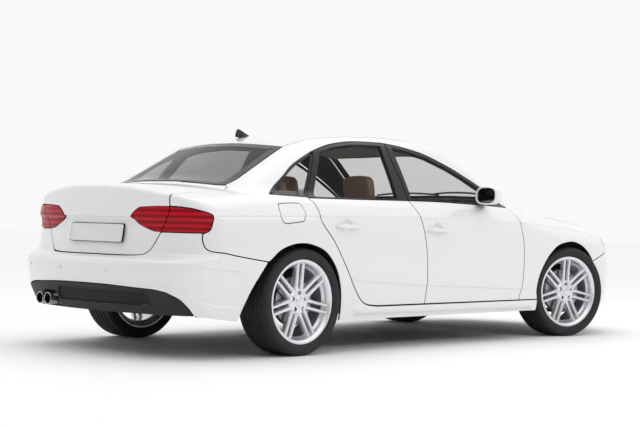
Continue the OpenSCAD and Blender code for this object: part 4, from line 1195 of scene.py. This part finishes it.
# Exhaust tips: a bright rolled rim round a dark bore
TIP = [[36.5, 0], [34.8, -1.5], [33, 0], [32.2, 8], [32.2, 150], [35.8, 150], [36.5, 12]]
tips = []
bore = []
for y, z in EXHAUST:
    points, faces = turned(TIP, 64)
    tips.append((np.stack([points[:, 2] + TIP_X, y + points[:, 0], z + points[:, 1]], 1), faces))
    points, faces = turned([[0.5, 148], [32.1, 148], [32.1, 60], [31.6, 60], [31.6, 146], [0.5, 146]], 48)
    bore.append((np.stack([points[:, 2] + TIP_X, y + points[:, 0], z + points[:, 1]], 1), faces))
dress(solid_piece("exhaust_tips", *merged(*tips)), CHROME, "body", "exhaust_steel", "exhaust")
dress(solid_piece("exhaust_bores", *merged(*bore)), UNDERCOAT, "body", "exhaust_steel")
silencer = [np.array([x, 280, 320]) for x in (-2155, -2150, -2120, -1975, -1945, -1940)]
dress(smoothed(solid_piece("silencer", *swept(silencer, [[0, 1, 0]] * 6, [[0, 0, 1]] * 6,
                                             [190, 212, 220, 220, 212, 190], [30, 40, 45, 45, 40, 30],
                                             4, 40))),
      CAST, "body", "exhaust_steel")


def lattice(name, chart, hole, spacing, half, lift, body="body", slot="black_plastic"):
    """A mesh of crossing flat bars over a hole: two sets of slanting lines, cut where they leave it."""
    low, high = hole.min(0), hole.max(0)
    shells = []
    for slope in (1.35, -1.35):
        reach = (high[1] - low[1]) / abs(slope)
        for start in np.arange(low[0] - reach, high[0] + reach, spacing):
            v = np.linspace(low[1] - 4, high[1] + 4, 24)
            u = start + (v - (low[1] if slope > 0 else high[1])) / slope
            line_points = np.stack([u, v], 1)
            keep = inside_loop(line_points, hole)
            if keep.sum() < 2:
                continue
            run = line_points[keep]
            p = cast(*chart(run))
            n = form_normal(p)
            path = p + n * lift
            side_axis = unit(np.cross(np.gradient(path, axis=0), n))
            shells.append(swept(path, side_axis, n, [half] * len(path), [2.5] * len(path), 3, 6))
    return dress(solid_piece(name, *merged(*shells)), SATIN_BLACK, body, slot)


lattice("diffuser_mesh", tail_wrap, inset(mesh_hole, -6), 15, 1.9, -8)
dress(sheet("diffuser_mesh_back", tail_wrap, inset(mesh_hole, -8), step=30, depth=3, lift=-26), UNDERCOAT,
      "body", "black_plastic")
# A raised frame line round the mesh field
def bead_along(name, chart, loop, radius, lift, material, body, slot):
    """A round bead that follows a closed line on the form."""
    p = cast(*chart(loop))
    n = form_normal(p)
    path = p + n * lift
    side_axis = unit(np.cross(np.roll(path, -1, axis=0) - np.roll(path, 1, axis=0), n))
    u, v = oval(8, 2, radius, radius)
    rings = path[:, None] + u[None, :, None] * side_axis[:, None] + v[None, :, None] * n[:, None]
    return dress(solid_piece(name, rings.reshape(-1, 3), grid_faces(len(path), 8, wrap_rows=True).tolist()),
                 material, body, slot)


bead_along("diffuser_mesh_rim", tail_wrap, inset(mesh_hole, -1), 4, -1, GREY_PLASTIC, "body", "black_plastic")
lattice("grille_mesh", nose_wrap, inset(grille_hole, -6), 26, 3.0, -10, slot="black_plastic")
dress(sheet("grille_back", nose_wrap, inset(grille_hole, -8), step=40, depth=3, lift=-34), UNDERCOAT, "body",
      "black_plastic", "grille")
bead_along("grille_rim", nose_wrap, inset(grille_hole, 1), 7, 1, CHROME, "body", "exhaust_steel")
for side, hole in zip(("right", "left"), duct_holes):
    lattice(f"duct_mesh_{side}", nose_wrap, inset(hole, -6), 20, 2.4, -10)
    dress(sheet(f"duct_back_{side}", nose_wrap, inset(hole, -8), step=40, depth=3, lift=-34), UNDERCOAT,
          "body", "black_plastic", "grille")

# Headlight bulbs behind the clear cover: two domed lenses in bright rings
lens = []
for y, z in ((-690, 705), (-560, 700)):
    foot = on_nose([[y, z]])
    away = form_normal(foot)[0]
    for radius, height in ((38, -20), (30, -10)):
        lens.append(button(foot[0] - away * 16, away, radius, 12 + height / 2))
pair("headlight_lens", merged(*lens), MIRROR, "body", "lamp_clear")

# Roof aerial: a shark fin, its rings shrinking and moving back as they rise
fin_base = on_top([[-1040, 0]])[0]
fin = []
for k, h in enumerate(np.linspace(0, 1, 7)):
    u, v = oval(28, 2.4, 68 * (1 - h) ** 0.8 + 10, 21 * (1 - h) ** 1.3 + 2.2)
    fin.append(fin_base + np.stack([u - 52 * h, v, 0 * u + 52 * h - 7 + 3 * (h == 1)], 1))
dress(smoothed(solid_piece("aerial_fin", *loft(fin))), GLOSS_BLACK, "body", "black_plastic", "antenna_fin")

# Wipers on the windshield, a blade and an arm each
wiper = []
for y0, y1, x0, x1 in ((-520, 60, 905, 985), (20, 560, 1000, 895)):
    spine = on_top(np.stack([np.linspace(x0, x1, 15), np.linspace(y0, y1, 15)], 1))
    n = form_normal(spine)
    side_axis = unit(np.cross(np.gradient(spine, axis=0), n))
    wiper.append(swept(spine + n * 9, side_axis, n, [5] * 15, [7] * 15, 2.5, 10))
dress(solid_piece("wiper_blades", *merged(*wiper)), SATIN_BLACK, "body", "black_plastic")


# ---- Cabin ----
def cushion(centre_line, axes, half_u, half_v, crown, seam_at=0.86, count=48, power=5.0):
    """A stuffed panel: rounded-box rings along a line, crowned in the middle and drawn in at its seams.

    Half width and half thickness follow the line. Each ring bulges by crown times the root of a cosine
    across its width, and a groove runs along both faces at the seam fraction of the half width.
    """
    rings = []
    for k, (centre, (a, b)) in enumerate(zip(centre_line, axes)):
        u, v = oval(count, power, half_u[k], half_v[k])
        part = np.abs(u) / max(half_u[k], 1)
        broad = np.abs(v) > half_v[k] * 0.5
        bulge = crown * np.cos(np.pi / 2 * np.clip(part, 0, 1)) ** 0.5 * np.sign(v) * broad
        groove = 5.0 * np.exp(-((part - seam_at) / 0.035) ** 2) * np.sign(v)
        v = v + (bulge - groove) * min(1, half_u[k] / half_u.max()) * (half_v[k] / half_v.max())
        rings.append(np.asarray(centre) + u[:, None] * np.asarray(a) + v[:, None] * np.asarray(b))
    return loft(rings)


def eased_ends(count, grow=0.1):
    """Widths along a cushion: one in the middle, rounding off to nothing much at both ends."""
    t = np.linspace(0, 1, count)
    near = np.minimum(np.minimum(t, 1 - t) / grow, 1)
    return t, np.sqrt(1 - (1 - near) ** 2) * 0.86 + 0.14


def seat_part(start, stop, width, thick, crown, lines=()):
    """A long cushion between two points of the XZ plane, with cross seams where lines says."""
    t, fade = eased_ends(40)
    start, stop = np.array([start[0], 0, start[1]], float), np.array([stop[0], 0, stop[1]], float)
    path = start + (stop - start) * t[:, None]
    run = unit(stop - start)
    out = np.array([-run[2], 0, run[0]])
    pinch = np.ones_like(t)
    for at_t in lines:
        pinch -= 0.10 * np.exp(-((t - at_t) / 0.012) ** 2)
    half_u = width * fade ** 0.35
    half_v = thick * fade ** 0.6 * pinch
    return cushion(path, [([0, 1, 0], out)] * 40, half_u, half_v, crown)


def shifted(shape, y):
    """A shape moved sideways by y."""
    points, faces = shape
    return points + [0, y, 0], faces


def head_rest(at_x, at_z, half, thick, tall, lean):
    """A head restraint: an upright cushion on two bright posts."""
    t, fade = eased_ends(22, 0.3)
    path = np.stack([at_x - lean * t, 0 * t, at_z + tall * t], 1)
    run = unit(path[-1] - path[0])
    out = np.array([run[2], 0, -run[0]])
    return cushion(path, [([0, 1, 0], out)] * 22, half * fade ** 0.5, thick * fade ** 0.6, 6)


SEAT_Y, REST_Y, BENCH_Y, POST_R = 370, 405, 292, 6.5
seat_cover, bench_cover, posts = [], [], []
for y in (-SEAT_Y, SEAT_Y):
    seat_cover += [shifted(seat_part([-112, 386], [392, 398], 214, 56, 10, (0.55,)), y),
                   shifted(seat_part([-88, 424], [-282, 936], 214, 44, 9, (0.42, 0.75)), y),
                   shifted(head_rest(-292, 958, 122, 42, 176, 30), y)]
for y in (-REST_Y, REST_Y):
    bench_cover.append(shifted(head_rest(-1150, 936, 118, 36, 138, 22), y))
bench_cover += [shifted(seat_part([-950, 450], [-566, 456], 292, 44, 9, (0.5,)), y)
                for y in (-BENCH_Y, BENCH_Y)]
bench_cover += [shifted(seat_part([-958, 430], [-1126, 920], 292, 42, 9, (0.4, 0.72)), y)
                for y in (-BENCH_Y, BENCH_Y)]
front_covers = solid_piece("front_seat_covers", *merged(*seat_cover))
dress(front_covers, LEATHER, "body", "seat_leather", "front_seats")
bench_covers = solid_piece("rear_bench_covers", *merged(*bench_cover))
dress(bench_covers, LEATHER, "body", "seat_leather", "rear_bench")
for seat_y, half_gap, low, bend, top in ((SEAT_Y, 60, (-268, 905), (-290, 965), (-300, 1000)),
                                         (REST_Y, 50, (-1112, 890), (-1148, 940), (-1152, 970))):
    for y in (-seat_y - half_gap, half_gap - seat_y, seat_y - half_gap, seat_y + half_gap):
        post = np.array([[x, y, z] for x, z in (low, bend, top)])
        posts.append(swept(post, [[0, 1, 0]] * 3, [[1, 0, 0.3]] * 3, [POST_R] * 3, [POST_R] * 3, 2, 12))
dress(solid_piece("head_rest_posts", *merged(*posts)), CHROME, "body", "seat_leather")


# ---- Construction pieces that keep their own form ----
KEPT = {UNDERCOAT: ["floor_pan", "bulkhead", "wheel_liners", "fuel_tank"],
        CABIN: ["dashboard", "steering_wheel", "centre_console"],
        LINING: ["parcel_shelf"],
        CAST: ["engine_block"],
        STEEL: ["front_axle", "rear_axle", "knuckle_left", "knuckle_right"],
        DISC: [f"disc_{end}_{side}" for end in ("front", "rear") for side in ("left", "right")]}
for material, kept_nodes in KEPT.items():
    for kept in kept_nodes:
        for slot in frame["nodes"][kept].material_slots:
            slot.material = material


# ---- Studio ----
floor = make_mesh("studio_floor", np.array([[-40000, -40000, 0], [40000, -40000, 0], [40000, 40000, 0],
                                            [-40000, 40000, 0]], float), [(0, 1, 2, 3)])
floor.data.materials.append(PAPER)

EYE = Vector((-7.755, -7.370, 0.873))
YAW, ROLL = 0.780, 0.020
LENS = 84.0
ahead = Vector((np.cos(YAW), np.sin(YAW), 0))
right = Vector((np.sin(YAW), -np.cos(YAW), 0))
up = Vector((0, 0, 1))
x_axis = right * np.cos(ROLL) + up * np.sin(ROLL)
y_axis = up * np.cos(ROLL) - right * np.sin(ROLL)
camera_data = bpy.data.cameras.new("camera")
camera_data.lens = LENS
camera_data.sensor_width = 36
camera_data.clip_end = 200
camera = bpy.data.objects.new("camera", camera_data)
turn = Matrix((x_axis, y_axis, -ahead)).transposed().to_4x4()
camera.matrix_world = Matrix.Translation(EYE) @ turn
bpy.context.scene.collection.objects.link(camera)
bpy.context.scene.camera = camera

# The room: bright ahead of the camera and overhead, dimmer behind it
world = bpy.data.worlds.new("studio_light")
world.use_nodes = True
nodes, links = world.node_tree.nodes, world.node_tree.links
aim = added(nodes, "TexCoord")
brighter = added(nodes, "Math", operation="MAXIMUM")
for slot_number, (toward, start, stop, dim, bright) in enumerate((((0.71, 0.70, 0), -0.6, 0.5, 0.50, 0.95),
                                                                  ((0, 0, 1), 0.2, 0.8, 0.0, 1.2))):
    facing = added(nodes, "VectorMath", {1: toward}, operation="DOT_PRODUCT")
    level = added(nodes, "MapRange", {"From Min": start, "From Max": stop, "To Min": dim, "To Max": bright},
                  interpolation_type="SMOOTHSTEP")
    links.new(aim.outputs["Generated"], facing.inputs[0])
    links.new(facing.outputs["Value"], level.inputs["Value"])
    links.new(level.outputs["Result"], brighter.inputs[slot_number])
links.new(brighter.outputs["Value"], nodes["Background"].inputs["Strength"])
nodes["Background"].inputs["Color"].default_value = (1.0, 1.0, 1.0, 1)
bpy.context.scene.world = world
bpy.context.scene.view_settings.view_transform = "Standard"


def soft_light(name, place, target, size, power):
    """A soft box: a rectangle of light at a place, turned to a target."""
    lamp = bpy.data.lights.new(name, "AREA")
    lamp.shape = "RECTANGLE"
    lamp.size, lamp.size_y = size
    lamp.energy = power
    thing = bpy.data.objects.new(name, lamp)
    thing.location = place
    thing.rotation_euler = (Vector(target) - Vector(place)).to_track_quat("-Z", "Y").to_euler()
    bpy.context.scene.collection.objects.link(thing)


soft_light("ceiling_light", (0.5, 0, 5.5), (0.5, 0, 0), (9, 5), 60)
soft_light("side_light", (1.5, -7, 4.5), (0.6, 0, 0.6), (8, 3), 90)
